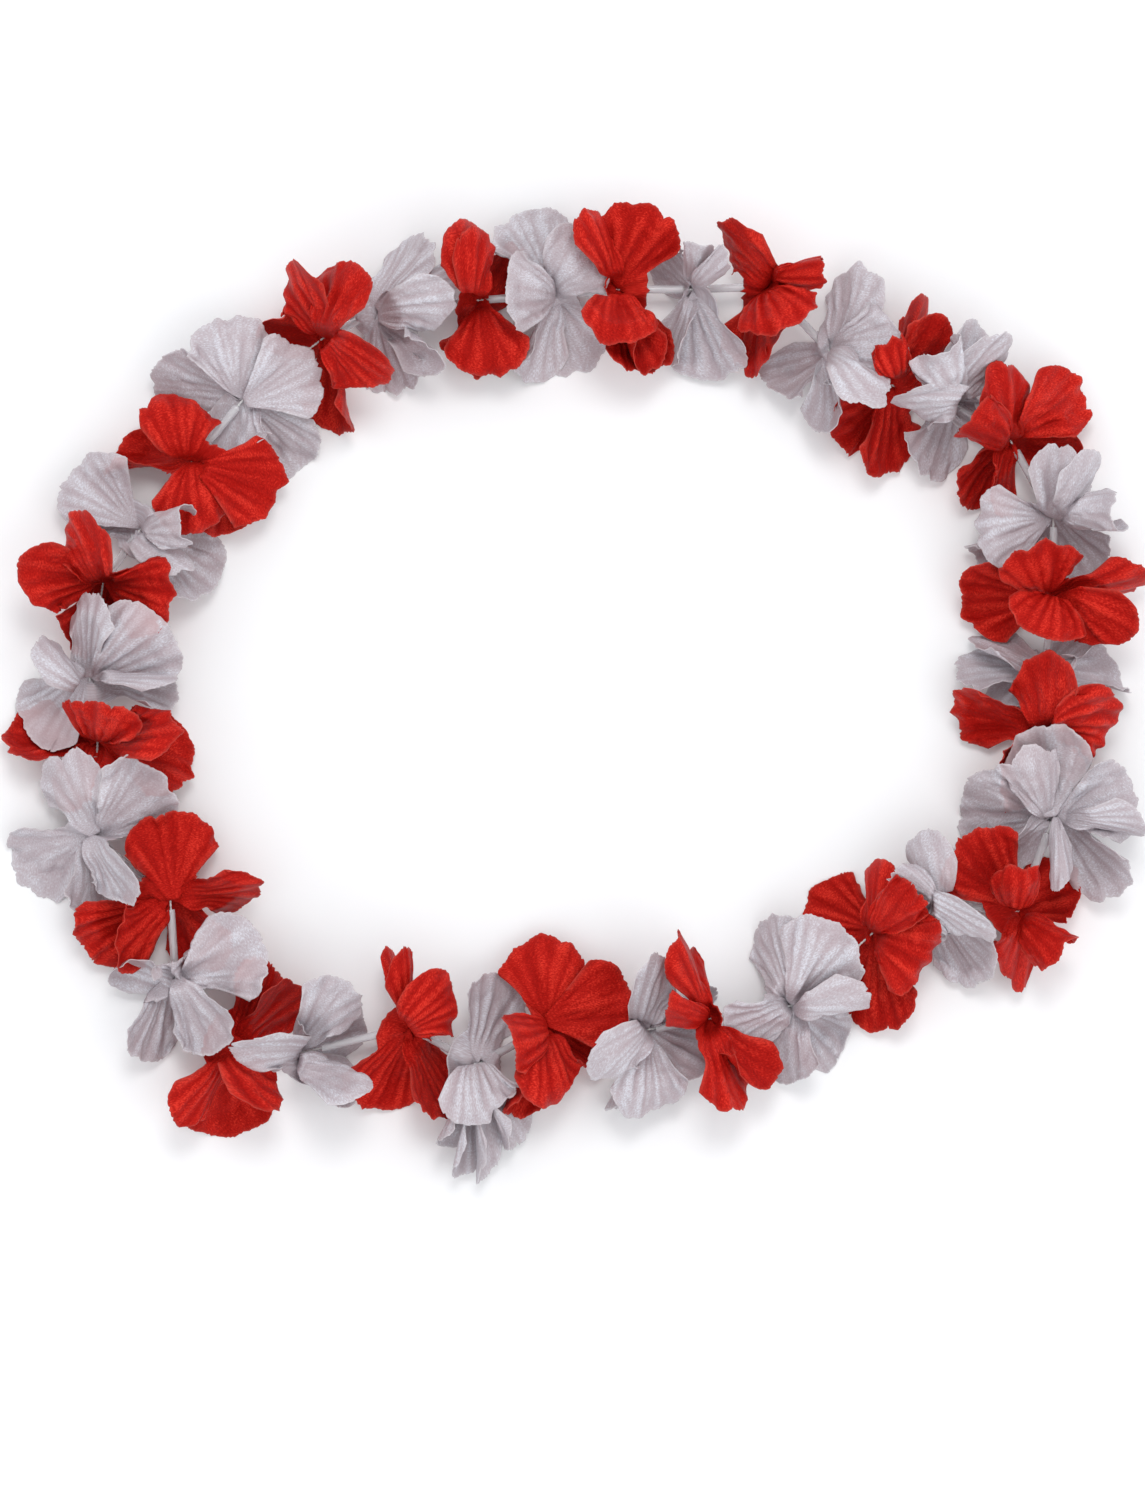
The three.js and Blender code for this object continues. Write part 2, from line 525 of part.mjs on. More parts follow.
// Rings of the thread and its tubes round the loop, as [point, direction, radius]
function threadStations(hubs) {
  const stations = [];
  hubs.forEach((hub, i) => {
    const next = hubs[(i + 1) % hubs.length];
    const along = next.point.clone().sub(hub.point);
    const span = along.length();
    along.normalize();
    const tube = Math.min(TUBE.longest, span - 2 * TUBE.clearOfHub);
    const from = hub.point.clone().addScaledVector(along, (span - tube) / 2);
    const to = hub.point.clone().addScaledVector(along, (span + tube) / 2);
    stations.push([hub.point, hub.along, THREAD_RADIUS, 0]);
    stations.push([from, along, THREAD_RADIUS, -1], [from, along, TUBE.radius, -1]);
    stations.push([to, along, TUBE.radius, 1], [to, along, THREAD_RADIUS, 1]);
  });
  return stations;
}

function threadSolid(stations, grow) {
  const corners = [];
  const triangles = [];
  stations.forEach(([centre, along, radius, end], i) => {
    const sideways = along.clone().cross(UP).normalize();
    const upward = sideways.clone().cross(along);
    for (let k = 0; k < SWEEP_SIDES; k++) {
      const angle = (2 * Math.PI * k) / SWEEP_SIDES;
      const point = centre.clone().addScaledVector(along, end * grow);
      point.addScaledVector(sideways, (radius + grow) * Math.cos(angle));
      point.addScaledVector(upward, (radius + grow) * Math.sin(angle));
      corners.push(point.x, point.y, point.z);
      const here = i * SWEEP_SIDES;
      const there = ((i + 1) % stations.length) * SWEEP_SIDES;
      const l = (k + 1) % SWEEP_SIDES;
      triangles.push(here + k, there + k, there + l, here + k, there + l, here + l);
    }
  });
  return solidOf(corners, triangles);
}

// Each bloom's petals with what stays the same while they are laid
const hubs = bloomHubs();
const blooms = BLOOMS.map(({ lean, petals }, i) => {
  const { angles, order, half } = rootAngles(hubs[i], petals);
  const plans = petals.map((petal, k) => ({ petal, hub: hubs[i], lean, rootAngle: angles[k], halfRoot: half,
    bloom: i, wave: phase(i, k) }));
  return { plans, order };
});
const stations = threadStations(hubs);
const thread = threadSolid(stations, 0);
const threadClear = threadSolid(stations, GAP);
const hubsClear = blooms.map(({ plans, order }) => hubSolid(plans, order, GAP));

// What has been laid, as solids grown by the gap, each with its bloom's number
const laid = [];

// How much of a petal would cross what has been laid
function crossing(plan, solid) {
  let volume = solid.intersect(threadClear).volume();
  for (const other of laid) {
    if (hubs[plan.bloom].point.distanceTo(hubs[other.bloom].point) > PETALS_MEET * PETAL_LENGTH) continue;
    const obstacle = other.bloom === plan.bloom ? other.bare : other.grown;
    volume += solid.intersect(obstacle).volume();
  }
  hubsClear.forEach((hub, i) => {
    if (i !== plan.bloom && hubs[plan.bloom].point.distanceTo(hubs[i].point) < HUB_MET * PETAL_LENGTH) {
      volume += solid.intersect(hub).volume();
    }
  });
  return volume;
}

// The ways to bend a petal clear, the least change first
const bends = RAISES.flatMap((raise) => SWINGS.map((swing) => {
  return { raise, swing, change: RAISE_CHANGE * raise + Math.abs(swing) };
}));
bends.sort((a, b) => a.change - b.change);

// Lays a petal where its tip is wanted or, where it would cross another, bent or swung a little clear
function lay(plan) {
  let best = null;
  for (const { raise, swing, change } of bends) {
    const { grid, roll } = petalGrid(plan, raise, swing);
    settle({ grid, roll }, plan.petal.kind);
    const bare = petalSolid(plan, grid, 0);
    const volume = crossing(plan, bare);
    const cost = volume + CHANGE_COST * change;
    if (!best || cost < best.cost) best = { grid, bare, cost };
    if (volume < CLEAR_ENOUGH) break;
  }
  markPetal(best.grid);
  plan.bare = best.bare;
  plan.grown = petalSolid(plan, best.grid, GAP);
  laid.push(plan);
}

function layKind(kind) {
  for (const number of LAY_ORDER) {
    blooms[number - 1].plans.filter(({ petal }) => petal.kind === kind).forEach(lay);
  }
}

function markThread() {
  stations.forEach(([centre, , radius], i) => {
    const next = stations[(i + 1) % stations.length];
    const steps = Math.ceil(centre.distanceTo(next[0]) / (CELL / 2));
    for (let k = 0; k < steps; k++) {
      const point = centre.clone().lerp(next[0], k / steps);
      markHeight(point.x, point.y, point.z + Math.min(radius, next[2]));
    }
  });
}

// First all petals that rest on the table, then over the thread the drooping and the standing ones
layKind("rest");
markThread();
layKind("lie");
layKind("rise");

// A bloom is its hub and petals in one, cut clear of the thread and of the blooms below it
const lei = new THREE.Group();
const finished = [];
for (const number of LAY_ORDER) {
  const i = number - 1;
  const { plans, order } = blooms[i];
  let solid = wasm.Manifold.union([hubSolid(plans, order, 0), ...plans.map(({ bare }) => bare)]);
  solid = solid.subtract(threadClear);
  for (const other of finished) {
    if (hubs[i].point.distanceTo(hubs[other].point) > PETALS_MEET * PETAL_LENGTH) continue;
    const clear = wasm.Manifold.union([hubsClear[other], ...blooms[other].plans.map(({ grown }) => grown)]);
    if (solid.intersect(clear).volume() > 0) solid = solid.subtract(clear);
  }
  const colour = i % 2 === 0 ? "white" : "red";
  const bloom = new THREE.Mesh(geometryOf(tidied(solid)), MATERIALS[colour]);
  bloom.name = `bloom_${String(number).padStart(2, "0")}_${colour}`;
  lei.add(bloom);
  finished.push(i);
}
const threadWithTubes = new THREE.Mesh(geometryOf(thread), MATERIALS.clear);
threadWithTubes.name = "thread_with_tubes";
lei.add(threadWithTubes);

export default lei;
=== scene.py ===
"""A party lei: 36 satin blooms, red and white by turns, on a thread with a tube between each two.

It lies on a pale table and is seen straight from above, with +Y up the page. The layout is worked
out in millimetres, as the part's own plan is, and each mesh is brought to metres when it is
finished.
"""

import logging
import math
from dataclasses import dataclass, field
from enum import Enum
from typing import Any, Sequence

import bmesh
import bpy
import numpy as np
from mathutils import Matrix, Vector
from mathutils.bvhtree import BVHTree


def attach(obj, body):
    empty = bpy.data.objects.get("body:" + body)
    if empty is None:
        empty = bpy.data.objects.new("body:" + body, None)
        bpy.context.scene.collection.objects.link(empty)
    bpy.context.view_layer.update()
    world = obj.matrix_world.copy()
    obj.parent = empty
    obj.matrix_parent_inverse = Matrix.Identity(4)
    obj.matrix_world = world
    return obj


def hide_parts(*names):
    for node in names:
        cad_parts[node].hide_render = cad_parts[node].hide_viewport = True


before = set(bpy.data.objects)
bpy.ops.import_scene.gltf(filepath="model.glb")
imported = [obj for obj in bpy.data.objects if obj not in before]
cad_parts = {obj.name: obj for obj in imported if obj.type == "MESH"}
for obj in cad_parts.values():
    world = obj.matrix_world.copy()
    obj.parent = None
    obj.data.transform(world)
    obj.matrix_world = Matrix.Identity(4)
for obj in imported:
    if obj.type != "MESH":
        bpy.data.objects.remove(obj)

LOG = logging.getLogger("lei")
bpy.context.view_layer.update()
MM = 0.001
FULL_TURN = 2 * math.pi
UP = np.array([0.0, 0.0, 1.0])
GOLDEN_STEP = 0.618034  # of a turn, from one petal's ripples to the next one's
BLOOM_STEP = 7  # such steps from one bloom to the next
STRAIGHT_SHARE = 0.9995  # chord over length at which an arc counts as straight
STRAIGHT_HALF_ANGLE = 0.05  # that such an arc is given
NEWTON_ROUNDS = 8


class Lay(Enum):
    """How a petal is held."""

    REST = "on the table"
    LIE = "drooping over what is below it"
    RISE = "standing up from the hub"


class Hue(Enum):
    """The two satins."""

    RED = "red"
    WHITE = "white"


@dataclass(frozen=True)
class Petal:
    """One petal: where its tip lies from the hub seen from above, and how broad it looks, in mm."""

    lay: Lay
    x: float
    y: float
    breadth: float

    @property
    def reach(self) -> float:
        """How far the tip lies from the hub, seen from above."""
        return math.hypot(self.x, self.y)


def rest(x: float, y: float, breadth: float) -> Petal:
    """A petal that rests on the table."""
    return Petal(Lay.REST, x, y, breadth)


def lie(x: float, y: float, breadth: float) -> Petal:
    """A petal that droops over what is below it."""
    return Petal(Lay.LIE, x, y, breadth)


def rise(x: float, y: float, breadth: float) -> Petal:
    """A petal that stands up from the hub."""
    return Petal(Lay.RISE, x, y, breadth)


# The blooms round the loop, clockwise from the top: hub, the side to which a bloom falls (-1 on the
# one before it, 1 on the one after it) and petals.
BLOOMS: list[tuple[tuple[float, float], int, list[Petal]]] = [
    ((-7, 148), -1, [lie(-13, 31, 26), rise(-19, 1, 25), rest(10, -27, 28), lie(15, 18, 26),
        rest(-13, -30, 10)]),
    ((16, 150), -1, [lie(14, 29, 26), lie(-9, 29, 9), lie(6, -22, 22), rest(19, -29, 20),
        rest(3, -32, 9)]),
    ((44, 150), 1, [rise(-1, 14, 7), rise(11, 14, 5), rest(10, -33, 22), rest(-8, -28, 7),
        rest(-14, 18, 12)]),
    ((72, 151), 1, [lie(-17, 18, 13), rise(17, 11, 7), rise(6, -17, 27), rest(-9, -32, 15),
        rest(6, -28, 14)]),
    ((95, 127), 1, [lie(9, 30, 19), lie(26, 7, 24), lie(24, -10, 10), rest(-23, -13, 17),
        rest(9, -24, 9)]),
    ((119, 114), -1, [lie(15, 29, 13), lie(22, 17, 10), rise(0, 15, 9), rest(-21, -20, 17),
        rest(-4, -33, 19)]),
    ((141, 108), -1, [lie(11, 25, 18), lie(23, 14, 14), rise(-4, 18, 12), lie(-18, -5, 13),
        rest(-11, -26, 19), rest(18, -3, 9)]),
    ((162, 94), -1, [lie(2, 24, 17), lie(27, 19, 24), rest(24, 0, 22), rest(-19, -23, 16),
        rise(-17, 6, 12), rest(-10, -24, 8)]),
    ((178, 65), -1, [lie(-29, -6, 28), lie(6, 24, 22), lie(17, 20, 9), rise(20, 1, 9),
        rest(17, -21, 20), rest(-30, -14, 9)]),
    ((178, 36), -1, [rise(-9, 18, 30), lie(33, 4, 12), rest(-35, -1, 22), rise(-5, -15, 26),
        lie(21, -19, 20)]),
    ((175, 9), 1, [rest(-32, 0, 13), rest(31, -6, 11), rest(-27, 9, 8), rest(-14, -14, 15),
        rest(16, 12, 10)]),
    ((174, -13), -1, [rest(-34, 9, 14), lie(-4, 26, 21), lie(25, 7, 23), rest(16, -16, 9),
        rest(-15, -26, 18)]),
    ((178, -46), -1, [lie(-4, 34, 25), rise(-15, 23, 15), rest(-34, 10, 25), lie(30, 10, 27),
        lie(32, -7, 7), rest(26, -27, 15), rise(1, -26, 5), rest(-23, -13, 9)]),
    ((165, -81), 1, [lie(-25, 24, 28), rest(22, 10, 22), rest(-4, -24, 16), rise(16, -14, 11),
        rise(1, 16, 14)]),
    ((133, -78), -1, [lie(-8, 23, 10), rise(-17, 10, 7), lie(13, -14, 13), rest(19, -29, 17),
        rest(10, 14, 12)]),
    ((111, -89), -1, [rest(-23, 13, 27), lie(0, 26, 7), rise(12, 19, 13), lie(23, -10, 30),
        rest(2, -36, 22)]),
    ((81, -116), -1, [lie(-10, 32, 19), lie(16, 30, 26), lie(27, 1, 9), rest(17, -20, 24),
        rest(-3, -29, 18), rest(-23, -17, 18)]),
    ((50, -121), 1, [lie(-11, 33, 7), lie(12, -32, 15), rest(18, -24, 11), rise(-16, 7, 7),
        rest(-9, 20, 6)]),
    ((27, -125), 1, [lie(8, 23, 17), rest(24, 17, 8), rest(26, -13, 22), lie(1, -32, 24),
        lie(-14, -17, 15), rest(-12, -31, 9)]),
    ((-10, -124), 1, [lie(-2, 33, 30), lie(31, 14, 26), lie(5, -25, 20), rise(-14, -3, 17),
        rest(-15, -32, 8), rest(20, -17, 7)]),
    ((-36, -138), 1, [rest(9, 34, 19), lie(4, -19, 25), rest(-12, -31, 11), rest(-7, -42, 6),
        rest(1, -43, 5), rest(14, -32, 7)]),
    ((-61, -124), 1, [lie(-5, 30, 4), lie(2, 29, 6), lie(17, 12, 22), rest(-17, -30, 22),
        rest(12, -35, 14)]),
    ((-103, -134), 1, [lie(22, 26, 17), rest(24, 16, 15), lie(-16, -2, 13), lie(27, -6, 10),
        rest(18, -19, 9)]),
    ((-126, -132), 1, [rest(13, 32, 17), rest(28, 19, 13), rest(-5, -34, 24), lie(-16, -27, 9),
        lie(16, -15, 15)]),
    ((-148, -106), 1, [lie(33, 15, 26), rest(-13, -30, 15), lie(15, -27, 20), rest(-14, 6, 9),
        rest(8, 16, 9)]),
    ((-150, -77), 1, [lie(0, 33, 33), lie(33, 3, 13), rest(16, -25, 21), rest(-33, -18, 22),
        rest(-15, -20, 17)]),
    ((-179, -53), 1, [lie(-10, 30, 19), lie(25, 25, 25), rest(-29, -14, 25), rest(1, -32, 15),
        lie(13, -25, 14)]),
    ((-177, -18), -1, [rest(-34, 2, 19), rise(5, 15, 26), rest(35, -9, 22), rest(-1, -27, 15),
        lie(27, 11, 18)]),
    ((-180, 6), -1, [lie(2, 31, 15), lie(27, 24, 27), lie(-14, 14, 7), lie(33, 7, 5),
        rest(32, -10, 13), rest(-22, -22, 25)]),
    ((-175, 41), 1, [lie(-27, -3, 22), lie(-10, 20, 19), lie(27, -7, 28), rest(-6, -26, 18),
        rest(18, -24, 16)]),
    ((-161, 61), -1, [lie(-27, 21, 28), rise(16, 3, 10), lie(19, -9, 9), rest(28, -21, 20),
        rest(-22, 2, 12)]),
    ((-142, 86), -1, [lie(-4, 24, 24), rest(-33, -3, 9), lie(2, -25, 26), lie(33, -11, 27),
        rest(15, -26, 20)]),
    ((-123, 109), 1, [lie(-7, 29, 27), lie(27, 14, 28), rest(23, -25, 24), rest(-34, 8, 20),
        rest(-6, -19, 22)]),
    ((-93, 132), 1, [lie(-14, 21, 15), lie(9, 26, 19), lie(18, -20, 19), rest(10, -36, 11),
        rest(-19, 6, 20)]),
    ((-73, 142), 1, [lie(15, 29, 15), lie(30, 19, 7), lie(27, -4, 18), rest(9, -29, 20),
        rest(23, -19, 9)]),
    ((-35, 146), -1, [lie(-4, 24, 9), lie(6, 20, 9), lie(4, -28, 30), rest(-8, -27, 18),
        rest(10, 18, 12)]),
]

# The order in which the blooms lie on each other, lowest first, by number.
LAY_ORDER = [35, 34, 33, 31, 30, 32, 28, 29, 27, 26, 24, 25, 23, 22, 21, 20, 19, 14, 15, 16, 17, 18,
             11, 12, 13, 6, 7, 8, 9, 10, 5, 4, 3, 36, 1, 2]


def unit(vector: np.ndarray) -> np.ndarray:
    """The vector brought to length 1."""
    return vector / np.linalg.norm(vector, axis=-1, keepdims=True)


def smoothstep(value: np.ndarray | float, low: float, high: float) -> np.ndarray:
    """A smooth step from 0 at low to 1 at high."""
    share = np.clip((np.asarray(value, float) - low) / (high - low), 0.0, 1.0)
    return share * share * (3 - 2 * share)


def around(lifts: np.ndarray) -> np.ndarray:
    """The mean of the four values next to each one in a grid."""
    wide = np.pad(lifts, 1, mode="edge")
    return (wide[:-2, 1:-1] + wide[2:, 1:-1] + wide[1:-1, :-2] + wide[1:-1, 2:]) / 4


def arc_half_angle(share: float) -> float:
    """Half the angle that an arc turns through when its chord is this share of its length.

    Args:
        share: chord over arc length, from 0 to 1.

    Returns:
        The half angle in radians, a little above 0 for a straight arc.
    """
    if share > STRAIGHT_SHARE:
        return STRAIGHT_HALF_ANGLE
    half = math.sqrt(6 * (1 - share))
    for _ in range(NEWTON_ROUNDS):
        half -= (math.sin(half) - share * half) / (math.cos(half) - share)
    return half


def resampled(grid: np.ndarray, rows: np.ndarray, columns: np.ndarray) -> np.ndarray:
    """Values between those of a grid, on smooth curves through them.

    Args:
        grid: the values, [row][column].
        rows: the rows wanted, as fractions of the grid's own rows.
        columns: the columns wanted, likewise.

    Returns:
        The values at each wanted row and column.
    """

    def weights(places: np.ndarray, count: int) -> np.ndarray:
        """Shares of the grid's values in a wanted one.

        Args:
            places: where the values are wanted, in steps of the grid.
            count: how many values the grid has that way.

        Returns:
            The shares, [place][value].
        """
        first = np.clip(np.floor(places).astype(int), 0, count - 2)
        t = places - first
        shares = [(-t + 2 * t**2 - t**3) / 2, (2 - 5 * t**2 + 3 * t**3) / 2,
                  (t + 4 * t**2 - 3 * t**3) / 2, (t**3 - t**2) / 2]
        table = np.zeros((len(places), count))
        for offset, share in enumerate(shares, start=-1):
            np.add.at(table, (np.arange(len(places)), np.clip(first + offset, 0, count - 1)), share)
        return table

    tall, wide = grid.shape
    down = weights(np.asarray(rows) * (tall - 1), tall)
    over = weights(np.asarray(columns) * (wide - 1), wide)
    return down @ grid @ over.T


def surface_tree(grids: Sequence[np.ndarray]) -> BVHTree:
    """A search tree of surfaces.

    Args:
        grids: the points of each, [row][column][x, y, z].

    Returns:
        The tree, with four-sided faces.
    """
    faces = []
    start = 0
    for grid in grids:
        tall, wide = grid.shape[:2]
        row, column = np.arange(tall - 1)[:, None], np.arange(wide - 1)[None, :]
        corner = start + (row * wide + column).ravel()
        faces.append(np.stack([corner, corner + 1, corner + wide + 1, corner + wide], axis=-1))
        start += tall * wide
    points = np.concatenate([grid.reshape(-1, 3) for grid in grids])
    return BVHTree.FromPolygons(points.tolist(), np.concatenate(faces).tolist())


@dataclass
class Hub:
    """Where a bloom sits on the thread."""

    point: np.ndarray
    along: np.ndarray
    aside: np.ndarray

    def round_thread(self, angle: float) -> np.ndarray:
        """The direction across the thread at an angle round it, from sideways towards up."""
        return self.aside * math.cos(angle) + UP * math.sin(angle)


@dataclass(frozen=True)
class PetalCut:
    """The flat cut of a petal and the rules by which one bends, in mm and radians."""

    length: float = 34.0
    breadth: float = 32.0
    cloth: float = 0.7
    sector: float = math.radians(36)
    sector_flare: float = math.radians(3)
    corner_cut: float = 0.26
    corner_power: float = 2.6
    root_radius: float = 3.2
    root_waist: float = 3.2
    roll_in: float = 12.0
    most_roll: float = math.radians(62)
    rise_roll: float = 0.4
    full_face: float = 0.84
    folded_from: float = 10.0
    least_folded: float = 0.45
    cupped: tuple[float, float] = (0.42, 0.985)
    taut: float = 0.97
    slack: float = 1.005
    lie_drop: float = -4.0
    lie_spare: float = 0.55
    rise_spare: float = 0.95
    flutter: tuple[float, float, float] = (1.2, 3.2, 2.0)

    @property
    def free_length(self) -> float:
        """How long a petal is from its root to its rim."""
        return self.length - self.root_radius

    def rim_share(self, across: np.ndarray) -> np.ndarray:
        """How far out the rim is at each place across a petal, as a share of its middle."""
        return 1 - self.corner_cut * np.abs(across) ** self.corner_power

    def tip_rise(self, petal: Petal, hub_height: float) -> float:
        """How high over the hub a petal's tip starts out.

        Args:
            petal: the petal.
            hub_height: the hub's height over the table.

        Returns:
            The height in mm, below 0 where the tip is lower than the hub.
        """
        spare = math.sqrt(max(0.0, (self.taut * self.length) ** 2 - petal.reach**2))
        if petal.lay is Lay.REST:
            return self.cloth / 2 - hub_height
        if petal.lay is Lay.LIE:
            return self.lie_drop + self.lie_spare * spare
        return self.rise_spare * spare

    def folded(self, petal: Petal) -> float:
        """The share of its breadth that a petal keeps when it is folded in lengthwise."""
        return min(1.0, max(self.least_folded, petal.breadth / self.folded_from))

    def shown(self, petal: Petal) -> float:
        """The share of its folded breadth that a petal shows from above."""
        return min(1.0, petal.breadth / (self.folded(petal) * self.breadth * self.full_face))

    def roll_of(self, petal: Petal) -> float:
        """How far a petal turns about its own length, from how broad it looks."""
        roll = min(self.most_roll, math.acos(self.shown(petal)))
        return roll * (self.rise_roll if petal.lay is Lay.RISE else 1.0)

    def surface(self, plan: "PetalPlan", raised: float, swing: float, out: np.ndarray,
                across: np.ndarray) -> np.ndarray:
        """A petal's middle surface before it settles on anything.

        Args:
            plan: the petal.
            raised: how much higher than planned its tip is, in mm.
            swing: how far it swings round the hub, in degrees.
            out: shares of the way from root to rim, one for each row.
            across: from -1 on the left side to 1 on the right, one for each column.

        Returns:
            The points, [row][column][x, y, z].
        """
        petal, hub = plan.petal, plan.hub
        root = hub.point + self.root_radius * hub.round_thread(plan.root_angle)
        turned = math.radians(swing)
        tip = hub.point + np.array([
            petal.x * math.cos(turned) - petal.y * math.sin(turned),
            petal.x * math.sin(turned) + petal.y * math.cos(turned),
            self.tip_rise(petal, hub.point[2]) + raised,
        ])
        run = math.hypot(tip[0] - root[0], tip[1] - root[1])
        climb = tip[2] - root[2]
        chord = math.hypot(run, climb)
        length = max(self.free_length, chord * self.slack)
        to_tip = np.array([(tip[0] - root[0]) / run, (tip[1] - root[1]) / run, 0.0])
        left = np.cross(UP, to_tip)
        half = arc_half_angle(chord / length) * (-1 if petal.lay is Lay.REST else 1)
        start = math.atan2(climb, run) + half
        bend = -2 * half / length

        folded = self.folded(petal)
        side = 1 if float(left @ hub.along) * plan.lean >= 0 else -1
        roll = self.roll_of(petal)
        cup_share = max(self.cupped[0], min(self.cupped[1], self.shown(petal) / math.cos(roll)))
        cup = arc_half_angle(cup_share) / (folded * self.breadth / 2)
        cup_side = 1 if petal.lay is Lay.REST else -1

        a = across[None, :]
        o = out[:, None]
        angle = a * (self.sector + self.sector_flare * o)
        ray = o * length * (self.rim_share(across) * plan.outline(across))[None, :]
        s = ray * np.cos(angle)
        w = folded * (ray + self.root_waist) * np.sin(angle)
        elevation = start + bend * s
        forward = (np.sin(elevation) - math.sin(start)) / bend
        upward = (math.cos(start) - np.cos(elevation)) / bend
        normal = -np.sin(elevation)[..., None] * to_tip + np.cos(elevation)[..., None] * UP
        turn = (-roll * side * smoothstep(s, 0, self.roll_in))[..., None]
        crossway = -left * np.cos(turn) + normal * np.sin(turn)
        outway = normal * np.cos(turn) + left * np.sin(turn)
        height, ripples_across, ripples_out = self.flutter
        flutter = height * o * o * np.sin(plan.wave + ripples_across * a + ripples_out * o)
        points = root + to_tip * forward[..., None] + UP * upward[..., None]
        points = points + crossway * (np.sin(cup * w) / cup)[..., None]
        return points + outway * (cup_side * (1 - np.cos(cup * w)) / cup + flutter)[..., None]


@dataclass
class PetalPlan:
    """A petal with its place on the thread and, once it is laid, how it came to lie."""

    petal: Petal
    hub: Hub
    lean: int
    root_angle: float
    wave: float
    raised: float = 0.0
    swing: float = 0.0
    off: float = 0.0
    lifts: np.ndarray = field(default_factory=lambda: np.zeros((1, 1)))
    rag: np.ndarray = field(default_factory=lambda: np.zeros(0))

    def outline(self, across: np.ndarray) -> np.ndarray:
        """By how much the cut edge is longer or shorter than its rule at each column."""
        return 1 + self.rag if len(self.rag) == len(across) else np.ones(len(across))


@dataclass
class HeightMap:
    """How high what has been laid so far reaches, in square cells over the table, in mm."""

    cell: float = 1.5
    half_wide: float = 225.0
    half_deep: float = 200.0

    def __post_init__(self) -> None:
        """Makes the empty map."""
        self.wide = math.ceil(2 * self.half_wide / self.cell)
        self.deep = math.ceil(2 * self.half_deep / self.cell)
        self.values = np.zeros(self.wide * self.deep, np.float32)

    def _cells(self, x: np.ndarray, y: np.ndarray) -> tuple[np.ndarray, np.ndarray]:
        """The column and row of each place.

        Args:
            x: the places, along X.
            y: the places, along Y.

        Returns:
            The columns and the rows.
        """
        column = np.floor((x + self.half_wide) / self.cell).astype(int)
        row = np.floor((y + self.half_deep) / self.cell).astype(int)
        return column, row

    def under(self, x: np.ndarray, y: np.ndarray) -> np.ndarray:
        """The highest point near each place.

        Args:
            x: the places, along X.
            y: the places, along Y.

        Returns:
            The height of the highest point in each place's cell and the eight round it.
        """
        column, row = self._cells(x, y)
        highest = np.zeros(np.shape(x))
        for down in (-1, 0, 1):
            for over in (-1, 0, 1):
                cells = (row + down) * self.wide + column + over
                highest = np.maximum(highest, self.values[cells])
        return highest

    def mark(self, x: np.ndarray, y: np.ndarray, top: np.ndarray) -> None:
        """Raises the map to top at each place."""
        column, row = self._cells(x, y)
        np.maximum.at(self.values, row * self.wide + column, top.astype(np.float32))


